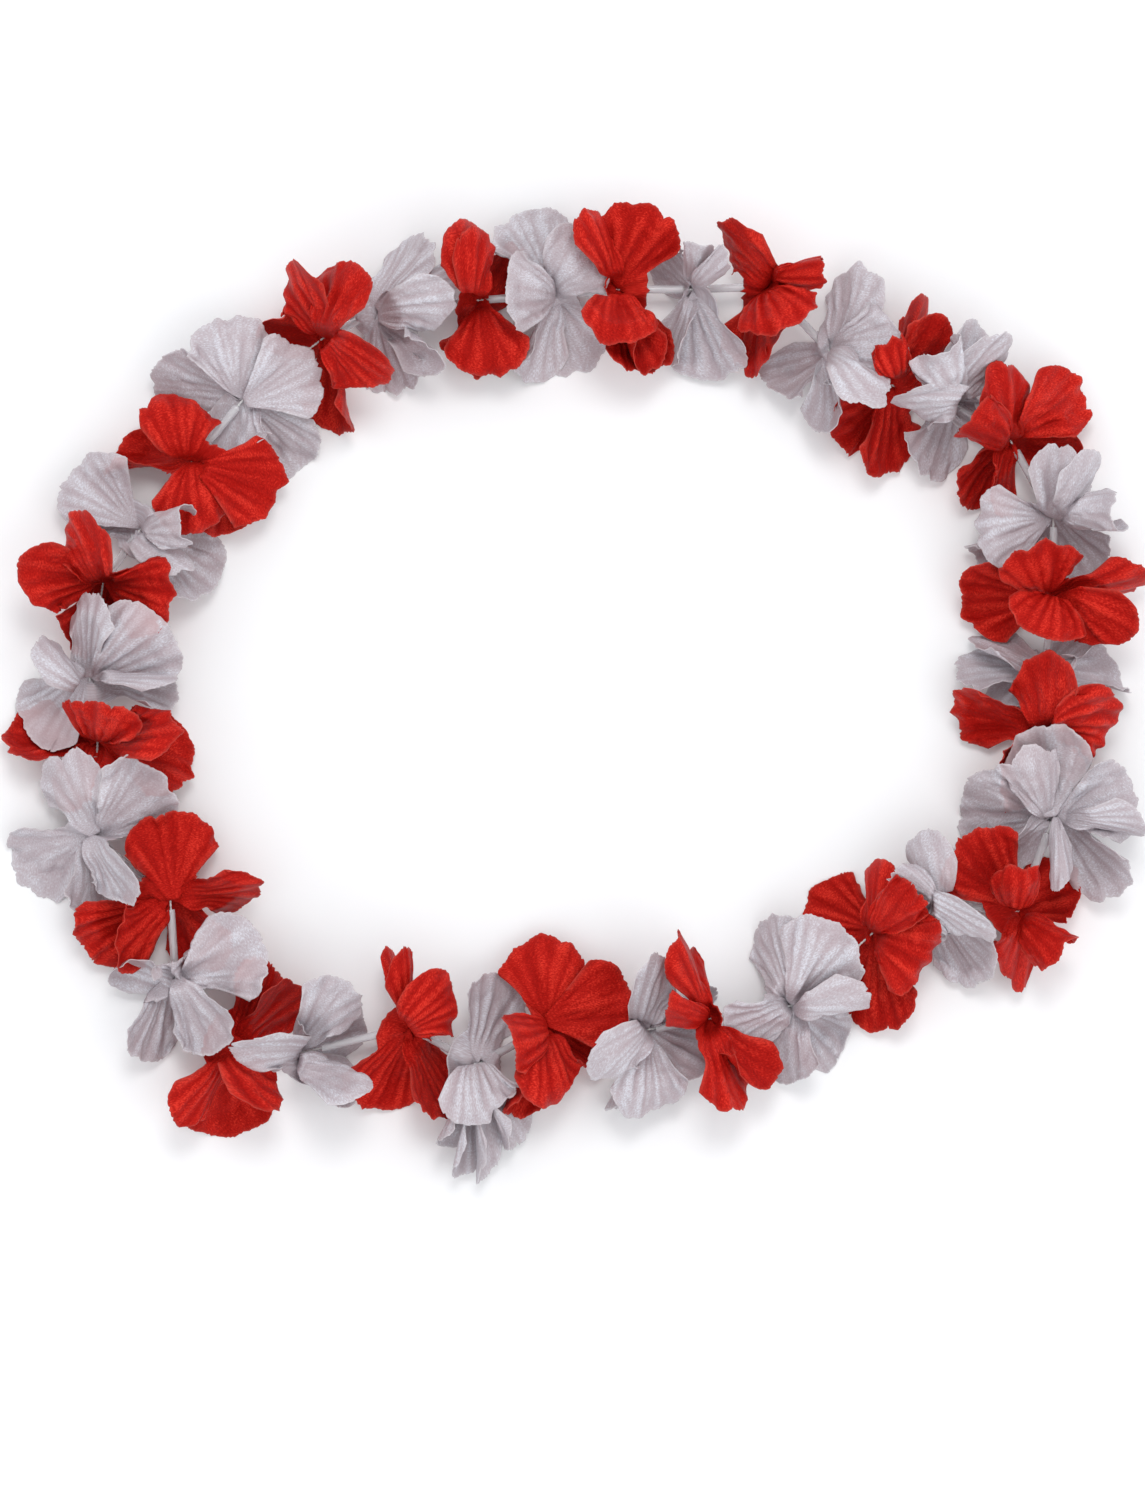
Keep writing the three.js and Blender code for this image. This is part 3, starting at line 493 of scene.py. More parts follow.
@dataclass
class Laying:
    """Lays the petals one on another as the solids lie, and finds how each one was bent clear."""

    cut: PetalCut
    fine: int = 8
    splat: int = 3
    rounds: int = 8
    gap: float = 0.4
    settle_spare: float = 0.15
    close_enough: float = 0.02
    most_lift: float = 14.0
    steep_roll: float = math.radians(35)
    pressed: float = 2.2
    narrow: float = 16.0
    raises: tuple[float, ...] = (0, 3, 6, 9, 12, 15)
    swings: tuple[float, ...] = (0, 3, -3, 6, -6, 10, -10, 14, -14)
    solid_rows: tuple[int, ...] = (2, 5, 8)
    solid_columns: tuple[int, ...] = (0, 2, 4, 6, 8)
    narrow_columns: tuple[int, ...] = (0, 4, 8)
    far_off: float = 2.0
    heights: HeightMap = field(default_factory=HeightMap)

    def __post_init__(self) -> None:
        """Works out the rows and columns of the grid on which a petal settles."""
        self.out = np.arange(self.fine + 1) / self.fine
        self.across = 2 * self.out - 1

    def settled(self, grid: np.ndarray, roll: float, lay: Lay) -> np.ndarray:
        """How far each point of a petal lifts over what lies below it.

        Args:
            grid: the petal's points.
            roll: how far it is turned about its length.
            lay: how it is held.

        Returns:
            The lift of each point in mm, with the root row at 0.
        """
        half = self.cut.cloth / 2
        below = self.heights.under(grid[..., 0], grid[..., 1])
        clear = (below > 0) * (self.gap + self.settle_spare)
        needs = np.minimum(self.most_lift, below + clear + half - grid[..., 2])
        if roll > self.steep_roll:
            needs[:] = needs.max(axis=1, keepdims=True)
        lifts = np.maximum(0, needs)
        lifts[0] = 0
        for _ in range(self.rounds):
            lifts = np.maximum(0, np.maximum(needs, around(lifts)))
            lifts[0] = 0
        if lay is Lay.REST:
            low = (below == 0) & (grid[..., 2] + lifts < half + self.pressed)
            low[: self.solid_rows[1]] = False
            lifts = np.where(low, half - grid[..., 2], lifts)
        return lifts

    def mark(self, grid: np.ndarray) -> None:
        """Marks a settled petal on the height map.

        Args:
            grid: the petal's points.
        """
        steps = np.arange(self.fine * self.splat + 1) / self.splat
        low = np.minimum(np.floor(steps).astype(int), self.fine - 1)
        share = (steps - low)[:, None]
        rows = grid[low] * (1 - share[..., None]) + grid[low + 1] * share[..., None]
        points = rows[:, low] * (1 - share) + rows[:, low + 1] * share
        points = points[self.splat:].reshape(-1, 3)
        self.heights.mark(points[:, 0], points[:, 1], points[:, 2] + self.cut.cloth / 2)

    def lay(self, plan: PetalPlan, solid: BVHTree) -> None:
        """Lays a petal the way its solid lies.

        Args:
            plan: the petal, which keeps what is found.
            solid: the bloom's solid, in metres.
        """
        columns = self.narrow_columns if plan.petal.breadth < self.narrow else self.solid_columns
        picks = np.ix_(self.solid_rows, columns)
        roll = self.cut.roll_of(plan.petal)
        best = None
        for raised in self.raises:
            for swing in self.swings:
                grid = self.cut.surface(plan, raised, swing, self.out, self.across)
                lifts = self.settled(grid, roll, plan.petal.lay)
                grid[..., 2] += lifts
                away = 0.0
                for point in grid[picks].reshape(-1, 3):
                    near = solid.find_nearest(Vector(point * MM))[3]
                    away += min(self.far_off, abs(near / MM - self.cut.cloth / 2))
                if best is None or away < best[0]:
                    best = (away, grid, lifts, raised, swing)
                if away < self.close_enough * picks[0].size * picks[1].size:
                    break
            else:
                continue
            break
        off, grid, plan.lifts, plan.raised, plan.swing = best
        plan.off = off / (picks[0].size * picks[1].size)
        self.mark(grid)


class Num:
    """A number in a shader: sums and products of it add the Math nodes that work them out."""

    def __init__(self, board: "Board", socket: bpy.types.NodeSocket) -> None:
        """Wraps a socket of a board."""
        self.board = board
        self.socket = socket

    def _math(self, operation: str, *values: Any) -> "Num":
        """The result of a Math node."""
        inputs = dict(enumerate(values))
        return self.board.number("ShaderNodeMath", {"operation": operation}, inputs)

    def __add__(self, other: Any) -> "Num":
        """This number plus another."""
        return self._math("ADD", self, other)

    def __radd__(self, other: Any) -> "Num":
        """Another number plus this one."""
        return self._math("ADD", other, self)

    def __sub__(self, other: Any) -> "Num":
        """This number less another."""
        return self._math("SUBTRACT", self, other)

    def __rsub__(self, other: Any) -> "Num":
        """Another number less this one."""
        return self._math("SUBTRACT", other, self)

    def __mul__(self, other: Any) -> "Num":
        """This number times another."""
        return self._math("MULTIPLY", self, other)

    def __rmul__(self, other: Any) -> "Num":
        """Another number times this one."""
        return self._math("MULTIPLY", other, self)

    def sine(self) -> "Num":
        """The sine of this number."""
        return self._math("SINE", self)

    def step(self, low: float, high: float) -> "Num":
        """A smooth step of this number, from 0 at low to 1 at high."""
        return self.board.number("ShaderNodeMapRange", {"interpolation_type": "SMOOTHSTEP"},
                                 {0: self, 1: low, 2: high, 3: 0.0, 4: 1.0})


class Board:
    """The nodes of one material."""

    def __init__(self, name: str) -> None:
        """Makes an empty material with its shader and output.

        Args:
            name: the material's name.
        """
        self.material = bpy.data.materials.new(name)
        self.material.use_nodes = True
        self.tree = self.material.node_tree
        self.tree.nodes.clear()
        self.shader = self.node("ShaderNodeBsdfPrincipled", {}, {})
        self.node("ShaderNodeOutputMaterial", {}, {"Surface": self.shader.outputs[0]})

    def node(self, kind: str, settings: dict[str, Any], inputs: dict[Any, Any]) -> bpy.types.Node:
        """Adds a node.

        Args:
            kind: the node's type.
            settings: its properties, which are set first.
            inputs: a value, number or socket for each of its sockets, by name or place.

        Returns:
            The node.
        """
        node = self.tree.nodes.new(kind)
        for key, value in settings.items():
            setattr(node, key, value)
        for key, value in inputs.items():
            self.feed(node.inputs[key], value)
        return node

    def feed(self, socket: bpy.types.NodeSocket, value: Any) -> None:
        """Gives a socket a link or a value of its own.

        Args:
            socket: the socket.
            value: a number or socket to link it to, or its own value.
        """
        if isinstance(value, Num):
            value = value.socket
        if isinstance(value, bpy.types.NodeSocket):
            self.tree.links.new(value, socket)
        else:
            socket.default_value = value

    def number(self, kind: str, settings: dict[str, Any], inputs: dict[Any, Any],
               output: Any = 0) -> Num:
        """The number that a new node gives."""
        return Num(self, self.node(kind, settings, inputs).outputs[output])

    def mix(self, factor: Any, first: Any, second: Any) -> bpy.types.NodeSocket:
        """A colour between two."""
        node = self.node("ShaderNodeMix", {"data_type": "RGBA"}, {0: factor, 6: first, 7: second})
        return node.outputs[2]

    def noise(self, vector: Any, scale: float, detail: float = 2.0) -> Num:
        """A noise from 0 to 1 on coordinates, with this many patches to a unit."""
        inputs = {"Vector": vector, "Scale": scale, "Detail": detail, "Roughness": 0.6}
        return self.number("ShaderNodeTexNoise", {}, inputs, "Fac")

    def bump(self, height: Any, strength: float, distance: float) -> bpy.types.NodeSocket:
        """The normal of a surface with this relief on it."""
        inputs = {"Strength": strength, "Distance": distance, "Height": height}
        return self.node("ShaderNodeBump", {}, inputs).outputs[0]

    def attribute(self, name: str) -> Num:
        """A number that the mesh holds at each point."""
        return self.number("ShaderNodeAttribute", {"attribute_name": name}, {}, "Fac")

    def place(self) -> bpy.types.NodeSocket:
        """Where a point is, in metres."""
        return self.node("ShaderNodeTexCoord", {}, {}).outputs["Object"]

    def uv(self, name: str) -> bpy.types.NodeSocket:
        """Where a point is on one of the mesh's own maps."""
        return self.node("ShaderNodeUVMap", {"uv_map": name}, {}).outputs[0]

    def set(self, **sockets: Any) -> None:
        """Sets the shader's sockets, with _ for a space in their names."""
        for key, value in sockets.items():
            self.feed(self.shader.inputs[key.replace("_", " ")], value)


Colour = tuple[float, float, float, float]


@dataclass(frozen=True)
class SatinFinish:
    """Polyester satin, embossed with pleats and cut with a hot knife.

    Its colour holds painted shade in the valleys and creases, painted highlights on the crests and
    as a sparkle in the grain, and painted red light bounced up from red cloth below.
    """

    name: str
    # Painted shade: the colour in the valleys.
    fold: Colour
    face: Colour
    # Painted highlight: the colour on the crests, which shine_from and shine_step bring in.
    shine: Colour
    edge: Colour
    # Painted light: the pink that red light, bounced up from red cloth below and shone through,
    # casts on white cloth.
    blush: Colour
    gloss: Colour
    specular: float = 0.3
    edge_share: float = 0.5
    strands: tuple[float, float, float] = (1 / 0.00042, 1 / 0.0009, 1.0)
    thread_pitch: float = 0.00045
    patch: float = 0.014
    roughness: float = 0.45
    base_depth: float = 0.20
    crest_depth: float = 0.50
    patch_depth: float = 0.2
    # The weave's own grain, which here also paints a sparkle of highlights into the colour.
    grain_depth: float = 1.4
    # Painted shade and highlight along the creases: how far the crease pattern shifts the colour.
    crease_depth: float = 0.3
    shine_from: float = 0.42
    face_step: float = 0.55
    shine_step: float = 0.5
    blush_share: float = 0.8
    rough_grain: float = 0.3
    rough_patch: float = 0.1
    relief: tuple[float, float, float] = (0.10, 1.1, 1.2)
    bump_strength: float = 0.5
    bump_height: float = 0.00022

    def build(self) -> bpy.types.Material:
        """Makes the material.

        Returns:
            The material, which colours by the mesh's crest as painted shade and highlights, by its
            edge, by its painted red bounce light and by its two maps.
        """
        board = Board(self.name)
        place = board.place()
        cloth = board.uv("cloth")
        rays = board.uv("rays")
        strands = board.node("ShaderNodeMapping", {}, {"Vector": cloth, "Scale": self.strands})
        grain = board.noise(strands.outputs[0], 1.0, 1.0)
        patch = board.noise(place, 1 / self.patch, 1.0)
        crease = board.noise(rays, 1.0, 2.0)
        crest = board.attribute("crest")
        edge = board.attribute("edge")
        blush = board.attribute("blush")
        split = board.node("ShaderNodeSeparateXYZ", {}, {0: cloth})
        turns = FULL_TURN / self.thread_pitch
        warp = (Num(board, split.outputs[0]) * turns).sine()
        weft = (Num(board, split.outputs[1]) * turns).sine()
        weave = warp * weft

        # Painted light: a share that runs from painted shade in valleys and creases to painted
        # highlights on crests and as sparkle in the grain; the patches add the cloth's own uneven
        # tone.
        shade_to_highlight = (self.base_depth + self.crest_depth * crest + self.patch_depth * (patch - 0.5)
                 + self.grain_depth * (grain - 0.5) + self.crease_depth * (crease - 0.5))
        colour = board.mix(shade_to_highlight.step(0.0, self.face_step), self.fold, self.face)
        bright = (shade_to_highlight - self.shine_from).step(0.0, self.shine_step)
        colour = board.mix(bright, colour, self.shine)
        # Painted red bounce light on white cloth that lies over red cloth.
        colour = board.mix(blush * self.blush_share, colour, self.blush)
        colour = board.mix(edge * self.edge_share, colour, self.edge)
        rough = (self.roughness + self.rough_grain * (grain - 0.5)
                 + self.rough_patch * (patch - 0.5))
        of_weave, of_grain, of_crease = self.relief
        height = of_weave * weave + of_grain * grain + of_crease * crease
        board.set(Base_Color=colour, Roughness=rough,
                  Normal=board.bump(height, self.bump_strength, self.bump_height),
                  Specular_IOR_Level=self.specular, Specular_Tint=self.gloss)
        return board.material


@dataclass(frozen=True)
class ClearPlasticFinish:
    """Thin clear plastic tube."""

    name: str = "clear_tube_plastic"
    tint: Colour = (0.93, 0.91, 0.93, 1.0)
    scuffs: float = 900.0
    roughness: float = 0.10
    rough_scuff: float = 0.10
    see_through: float = 0.65
    ior: float = 1.35
    specular: float = 0.6
    bump_strength: float = 0.12
    bump_height: float = 0.0001

    def build(self) -> bpy.types.Material:
        """Makes the material.

        Returns:
            The material.
        """
        board = Board(self.name)
        scuff = board.noise(board.place(), self.scuffs, 2.0)
        board.set(Base_Color=self.tint, Roughness=self.roughness + self.rough_scuff * scuff,
                  Normal=board.bump(scuff, self.bump_strength, self.bump_height),
                  Transmission_Weight=self.see_through, IOR=self.ior,
                  Specular_IOR_Level=self.specular)
        return board.material


@dataclass(frozen=True)
class ThreadFinish:
    """White sewing thread."""

    name: str = "white_thread"
    body: Colour = (0.80, 0.79, 0.77, 1.0)
    shade: Colour = (0.55, 0.54, 0.54, 1.0)
    fuzzes: float = 4000.0
    roughness: float = 0.6
    rough_fuzz: float = 0.2
    sheen: float = 0.3
    bump_strength: float = 0.4
    bump_height: float = 0.00005

    def build(self) -> bpy.types.Material:
        """Makes the material.

        Returns:
            The material.
        """
        board = Board(self.name)
        fuzz = board.noise(board.place(), self.fuzzes, 2.0)
        board.set(Base_Color=board.mix(fuzz, self.shade, self.body),
                  Roughness=self.roughness + self.rough_fuzz * fuzz,
                  Normal=board.bump(fuzz, self.bump_strength, self.bump_height),
                  Sheen_Weight=self.sheen)
        return board.material


@dataclass(frozen=True)
class TableFinish:
    """A plain pale table top."""

    name: str = "pale_table"
    tint: Colour = (0.90, 0.90, 0.90, 1.0)
    roughness: float = 0.85
    specular: float = 0.2

    def build(self) -> bpy.types.Material:
        """Makes the material.

        Returns:
            The material.
        """
        board = Board(self.name)
        board.set(Base_Color=self.tint, Roughness=self.roughness, Specular_IOR_Level=self.specular)
        return board.material


def finished(bm: bmesh.types.BMesh, name: str) -> bpy.types.Mesh:
    """Turns a bmesh into a mesh and frees it.

    Args:
        bm: the bmesh.
        name: the mesh's name.

    Returns:
        The new mesh.
    """
    mesh = bpy.data.meshes.new(name)
    bm.to_mesh(mesh)
    bm.free()
    return mesh


def smooth(mesh: bpy.types.Mesh) -> None:
    """Shades all faces of a mesh smooth."""
    for polygon in mesh.polygons:
        polygon.use_smooth = True


def show(name: str, data: bpy.types.ID) -> bpy.types.Object:
    """Puts a mesh, curve, lamp or camera in the scene.

    Args:
        name: the object's name.
        data: what it shows, in place.

    Returns:
        The new object.
    """
    item = bpy.data.objects.new(name, data)
    bpy.context.scene.collection.objects.link(item)
    return item


@dataclass
class ClothPatch:
    """One grid of cloth: its points in mm, what each point carries, and its two maps."""

    points: np.ndarray
    crest: np.ndarray
    edge: np.ndarray
    cloth: np.ndarray
    rays: np.ndarray


@dataclass(frozen=True)
class Swell:
    """Where a form grows on the way from a petal's root to its rim, and what it loses again."""

    grows: tuple[float, float]
    fades: tuple[float, float] = (0.0, 1.0)
    lost: float = 0.0

    def on(self, form: np.ndarray, out: np.ndarray) -> np.ndarray:
        """The form with its growth and its fading, at shares of the way out."""
        return form * smoothstep(out, *self.grows) * (1 - self.lost * smoothstep(out, *self.fades))


@dataclass(frozen=True)
class Relief:
    """How a petal's cloth is pressed, crumpled, curled and torn.

    Depths, the curl and table_clear are in mm. What is torn or cut off the rim is a share of the
    petal's length, and places on a petal are shares of its way out and across.
    """

    folds: tuple[int, int] = (8, 13)
    fold_rows: int = 3
    fold_depth: float = 0.45
    fold_swell: Swell = Swell((0.0, 0.35), (0.7, 1.0), 0.5)
    crumples: tuple[int, int] = (9, 11)
    crumple_level: float = 0.7
    crumple_depth: float = 0.36
    crumple_swell: Swell = Swell((0.05, 0.4))
    pleats: tuple[int, int] = (5, 9)
    pleat_level: float = 0.64
    pleat_strength: tuple[float, float] = (0.25, 1.0)
    pleat_depth: float = 0.52
    pleat_swell: Swell = Swell((0.08, 0.4), (0.75, 1.0), 0.7)
    pleat_sway: float = 0.05
    sways: tuple[int, int] = (2, 7)
    frill: tuple[int, int] = (4, 15)
    frill_depth: float = 0.75
    frill_swell: Swell = Swell((0.62, 1.0))
    curl: float = 2.6
    corner_across: tuple[float, float] = (0.5, 1.0)
    corner_out: tuple[float, float] = (0.3, 0.9)
    rim_curl: float = 0.7
    rim_out: tuple[float, float] = (0.75, 1.0)
    rim_bow: float = 0.4
    crest_of: tuple[float, float, float] = (0.6, 0.4, 3.0)
    lobes: int = 13
    lobe_depth: float = 0.025
    nick_depth: float = 0.006
    tear_depth: float = 0.03
    tear_rate: float = 0.02
    calm: float = 0.35
    table_clear: float = 0.22

    def rim(self, columns: int, draw: np.random.Generator) -> np.ndarray:
        """By how much the cut edge is longer or shorter than its rule.

        Args:
            columns: how many columns the petal has.
            draw: the bloom's own random numbers.

        Returns:
            Shares of the petal's length, one for each column.
        """
        places = np.linspace(0, 1, columns)
        lobes = np.interp(places, np.linspace(0, 1, self.lobes), draw.normal(0, 1, self.lobes))
        nicks = draw.normal(0, 1, columns)
        tears = draw.random(columns) < self.tear_rate
        return self.lobe_depth * lobes + self.nick_depth * nicks - self.tear_depth * tears

    def heights(self, out: np.ndarray, across: np.ndarray,
                draw: np.random.Generator) -> tuple[np.ndarray, np.ndarray]:
        """How far each point of a petal stands off its smooth surface.

        Args:
            out: shares of the way from root to rim, one for each row.
            across: from -1 to 1, one for each column.
            draw: the bloom's own random numbers.

        Returns:
            The heights in mm, and from 0 in the valleys to 1 on the crests, each [row][column].
        """
        o, a = out[:, None], across[None, :]
        places = (across + 1) / 2
        columns = int(draw.integers(*self.folds))
        folds = resampled(draw.normal(0, 1, (self.fold_rows, columns)), out, places)
        folds = self.fold_swell.on(folds, o)
        facets = resampled(draw.normal(0, 1, self.crumples), out, places)
        creases = self.crumple_swell.on(np.abs(facets) - self.crumple_level, o)
        frill = self.frill_swell.on(resampled(draw.normal(0, 1, self.frill), out, places), o)
        sway = self.pleat_sway * resampled(draw.normal(0, 1, self.sways), out, places)
        turns = math.pi / 2 * draw.integers(*self.pleats) * (a + sway) + draw.uniform(0, math.pi)
        pleats = (np.abs(np.cos(turns)) - self.pleat_level) * draw.uniform(*self.pleat_strength)
        pleats = self.pleat_swell.on(pleats, o)
        corner = 1 if draw.random() < 0.5 else -1
        curl = (draw.uniform(-1, 1) * smoothstep(corner * a, *self.corner_across)
                * smoothstep(o, *self.corner_out))
        curl = curl + (self.rim_curl * draw.uniform(-1, 1) * smoothstep(o, *self.rim_out)
                       * (1 - self.rim_bow * a * a))
        heights = (self.fold_depth * folds + self.crumple_depth * creases
                   + self.pleat_depth * pleats)
        heights = heights + self.frill_depth * frill + self.curl * curl
        # The crest share, from valleys to crests, is where the satin paints shade and highlights.
        of_folds, of_creases, of_pleats = self.crest_of
        crest = 0.5 + 0.5 * np.tanh(of_folds * folds + of_creases * creases + of_pleats * pleats)
        return heights, crest


@dataclass
class Bloom:
    """One satin bloom: its petals, the cloth between them at the hub, and its mesh.

    Lengths are in mm, but for same_point, which is in metres as the mesh is.
    """

    number: int
    hue: Hue
    hub: Hub
    ways: list[np.ndarray]
    plans: list[PetalPlan]
    cut: PetalCut
    relief: Relief = field(default_factory=Relief)
    rows: int = 30
    columns: int = 60
    core_shares: tuple[float, ...] = (0.12, 0.55)
    web_rows: tuple[int, int] = (6, 15)
    web_columns: int = 10
    web_notch: float = 0.10
    web_stretch: float = 24.0
    web_ragged: float = 0.5
    web_crease: float = 0.5
    web_creases: int = 3
    web_pull: tuple[float, float] = (0.1, 0.5)
    web_length: float = 9.0
    edge_width: float = 0.55
    root_guard: float = 3.0
    guard_out: tuple[float, float] = (0.4, 0.5)
    row_crowding: float = 1.2
    disc_petals: int = 5
    crease_rates: tuple[float, float] = (9, 2.2)
    crease_shifts: tuple[int, int] = (31, 7)
    thread_beside: tuple[float, float] = (4.2, 1.6)
    thread_ahead: tuple[float, float] = (0.0, 2.5)
    thread_reach: tuple[float, float] = (0.9, 1.1)
    tube_ahead: tuple[float, float] = (1.5, 3.2)
    under_from: float = -3.0
    widest_web: float = math.radians(215)
    overlap: float = 0.6
    dip: float = 1.7
    clear: float = 0.3
    lift_rounds: int = 3
    hub_zone: tuple[float, float] = (7.0, 13.0)
    thickness: float = 0.25
    same_point: float = 2e-6
    first_seed: int = 1000
    draw: np.random.Generator = field(init=False)
    patches: list[ClothPatch] = field(init=False)

    @property
    def node(self) -> str:
        """The name of the solid that this bloom stands for."""
        return f"bloom_{self.number:02d}_{self.hue.value}"

    def make_petals(self) -> None:
        """Makes the petals' cloth."""
        self.draw = np.random.default_rng(self.first_seed + self.number)
        self.patches = [self._petal(plan, place) for place, plan in enumerate(self.plans)]

    def make_webs(self, others: Sequence[BVHTree]) -> None:
        """Makes the cloth between the petals.

        Args:
            others: the cloth of the blooms near this one, which the webs keep clear of.
        """
        petals = list(self.patches)
        order = sorted(range(len(petals)), key=lambda k: -self._azimuth(petals[k]))
        for here, k in enumerate(order):
            following = order[(here + 1) % len(order)]
            web = self._web(petals[k], petals[following], others)
            if web is not None:
                self.patches.append(web)

    def lift_over(self, patch: ClothPatch, below: BVHTree) -> None:
        """Lifts a petal's points to just over cloth that is right above them.

        Args:
            patch: the petal.
            below: the cloth that it lies on.
        """
        lifts = np.zeros(patch.points.shape[:2])
        up = Vector((0, 0, 1))
        for spot in np.ndindex(lifts.shape):
            away = below.ray_cast(Vector(patch.points[spot]), up, self.dip)[3]
            if away is not None:
                lifts[spot] = away + self.clear
        for _ in range(self.lift_rounds):
            lifts = np.maximum(lifts, around(lifts))
        from_hub = np.linalg.norm(patch.points - self.hub.point, axis=-1)
        patch.points[..., 2] += lifts * smoothstep(from_hub, *self.hub_zone)

    def cloth_tree(self) -> BVHTree:
        """The bloom's cloth as it is so far, to test other cloth against."""
        return surface_tree([patch.points for patch in self.patches])

    def _azimuth(self, patch: ClothPatch) -> float:
        """The direction of a petal's tip from the hub, seen from above."""
        offset = patch.points[-1, patch.points.shape[1] // 2] - self.hub.point
        return math.atan2(offset[1], offset[0])

    def _petal(self, plan: PetalPlan, place: int) -> ClothPatch:
        """One petal with its folds, crumples and ragged rim.

        Args:
            plan: how it lies.
            place: its place in the bloom.

        Returns:
            Its patch of cloth.
        """
        steps = np.linspace(0, 1, self.rows + 1)
        out = 1 - (1 - steps) ** self.row_crowding
        across = np.linspace(-1, 1, self.columns + 1)
        plan.rag = self.relief.rim(self.columns + 1, self.draw)
        points = self.cut.surface(plan, plan.raised, plan.swing, out, across)
        points[..., 2] += resampled(plan.lifts, out, (across + 1) / 2)
        heights, crest = self.relief.heights(out, across, self.draw)
        normal = unit(np.cross(np.gradient(points, axis=1), np.gradient(points, axis=0)))
        calm = self.relief.calm + (1 - self.relief.calm) * math.cos(self.cut.roll_of(plan.petal))
        points = points + normal * (calm * self.cut.folded(plan.petal) * heights)[..., None]
        points[..., 2] = np.maximum(points[..., 2], self.relief.table_clear)

        o, a = out[:, None], across[None, :]
        angle = a * self.cut.sector
        ray = o * self.cut.free_length * self.cut.rim_share(across)[None, :]
        from_rim = (1 - o) * self.cut.free_length
        guard = self.root_guard * (1 - smoothstep(o, *self.guard_out))
        from_side = (1 - np.abs(a)) * ray * self.cut.sector + guard
        edge = np.exp(-np.minimum(from_rim, from_side) / self.edge_width)
        flat = angle + place * FULL_TURN / self.disc_petals
        radius = ray + self.cut.root_radius
        cloth = np.stack([radius * np.cos(flat) * MM, radius * np.sin(flat) * MM], axis=-1)
        rate_across, rate_out = self.crease_rates
        by_place, by_bloom = self.crease_shifts
        along = a * rate_across + place * by_place + self.number * by_bloom
        rays = np.stack([along + 0 * o, o * rate_out + 0 * a], axis=-1)
        return self._with_core(ClothPatch(points, crest, edge, cloth, rays))

    def _with_core(self, patch: ClothPatch) -> ClothPatch:
        """Carries a patch on from its root to the thread.

        Args:
            patch: the petal's own patch.

        Returns:
            A patch with rows nearer the thread in front of its own.
        """
        shares = np.array(self.core_shares)
        core = self.hub.point + (patch.points[0][None] - self.hub.point) * shares[:, None, None]
        cloth = np.concatenate([patch.cloth[0][None] * shares[:, None, None], patch.cloth])
        crest, edge, rays = (np.concatenate([np.repeat(values[:1], len(shares), axis=0), values])
                             for values in (patch.crest, patch.edge, patch.rays))
        return ClothPatch(np.concatenate([core, patch.points]), crest, edge, cloth, rays)

    def _web(self, left: ClothPatch, right: ClothPatch,
             others: Sequence[BVHTree]) -> ClothPatch | None:
        """The cloth between the right side of one petal and the left side of the next.

        Args:
            left: the petal whose right side it joins.
            right: the petal whose left side it joins.
            others: the cloth of the blooms near this one.

        Returns:
            The patch, as long as it can be, or nothing where the petals are too far round from each
            other.
        """
        apart = np.linalg.norm(left.points[:, -1] - right.points[:, 0], axis=1)
        fewest, most = self.web_rows
        rows = fewest
        while rows < most and apart[rows] < self.web_stretch:
            rows += 1
        state = self.draw.bit_generator.state
        web = None
        while rows >= fewest:
            self.draw.bit_generator.state = state
            web = self._web_of(left, right, rows)
            if web is None:
                break
            tree = surface_tree([web.points])
            if not any(tree.overlap(other) for other in others):
                break
            rows -= 1
        return web

    def _web_of(self, left: ClothPatch, right: ClothPatch, rows: int) -> ClothPatch | None:
        """The cloth between two petals over so many rows of them.

        Args:
            left: the petal whose right side it joins.
            right: the petal whose left side it joins.
            rows: how many rows of the petals it joins.

        Returns:
            The patch, or nothing where the petals are too far round from each other.
        """
        a = left.points[:rows, -1] - self.hub.point
        b = right.points[:rows, 0] - self.hub.point
        turn_a = np.unwrap(np.arctan2(a[:, 1], a[:, 0]))
        turn_b = np.unwrap(np.arctan2(b[:, 1], b[:, 0]))
        gap = (turn_a[-1] - turn_b[-1] + self.overlap) % FULL_TURN - self.overlap
        if gap > self.widest_web:
            return None
        turn_b = turn_b + round((turn_a[-1] - gap - turn_b[-1]) / FULL_TURN) * FULL_TURN
        share = np.linspace(0, 1, self.web_columns + 1)[None, :]
        down = np.linspace(0, 1, rows)[:, None]
        bow = np.sin(math.pi * share)

        def blend(u: np.ndarray, v: np.ndarray) -> np.ndarray:
            """Values from one side of the web to the other."""
            weight = share.reshape(1, -1, *[1] * (u.ndim - 1))
            return u[:, None] * (1 - weight) + v[:, None] * weight

        turn = blend(turn_a, turn_b)
        radius = blend(np.hypot(a[:, 0], a[:, 1]), np.hypot(b[:, 0], b[:, 1]))
        unevenness = self.draw.normal(0, 1, (1, self.web_columns + 1))
        ragged = self.web_notch * (1 + self.web_ragged * unevenness)
        radius = radius * (1 - ragged * bow * down**2)
        phase = self.draw.uniform(0, FULL_TURN)
        waves = np.sin(self.web_creases * math.pi * share + phase)
        crease = self.web_crease * waves * bow * down
        height = blend(a[:, 2], b[:, 2]) + crease
        polar = np.stack([radius * np.cos(turn), radius * np.sin(turn), height], axis=-1)
        pull = smoothstep(down, *self.web_pull)[..., None]
        points = self.hub.point + blend(a, b) * (1 - pull) + polar * pull
        points = self._clear_of_thread(points)
        points[:, 0], points[:, -1] = left.points[:rows, -1], right.points[:rows, 0]
        points[..., 2] = np.maximum(points[..., 2], self.relief.table_clear)
        edge = np.exp(-(1 - down) * self.web_length / self.edge_width) * bow
        crest, cloth, rays = (blend(getattr(left, name)[:rows, -1], getattr(right, name)[:rows, 0])
                              for name in ("crest", "cloth", "rays"))
        return ClothPatch(points, crest, edge, cloth, rays)

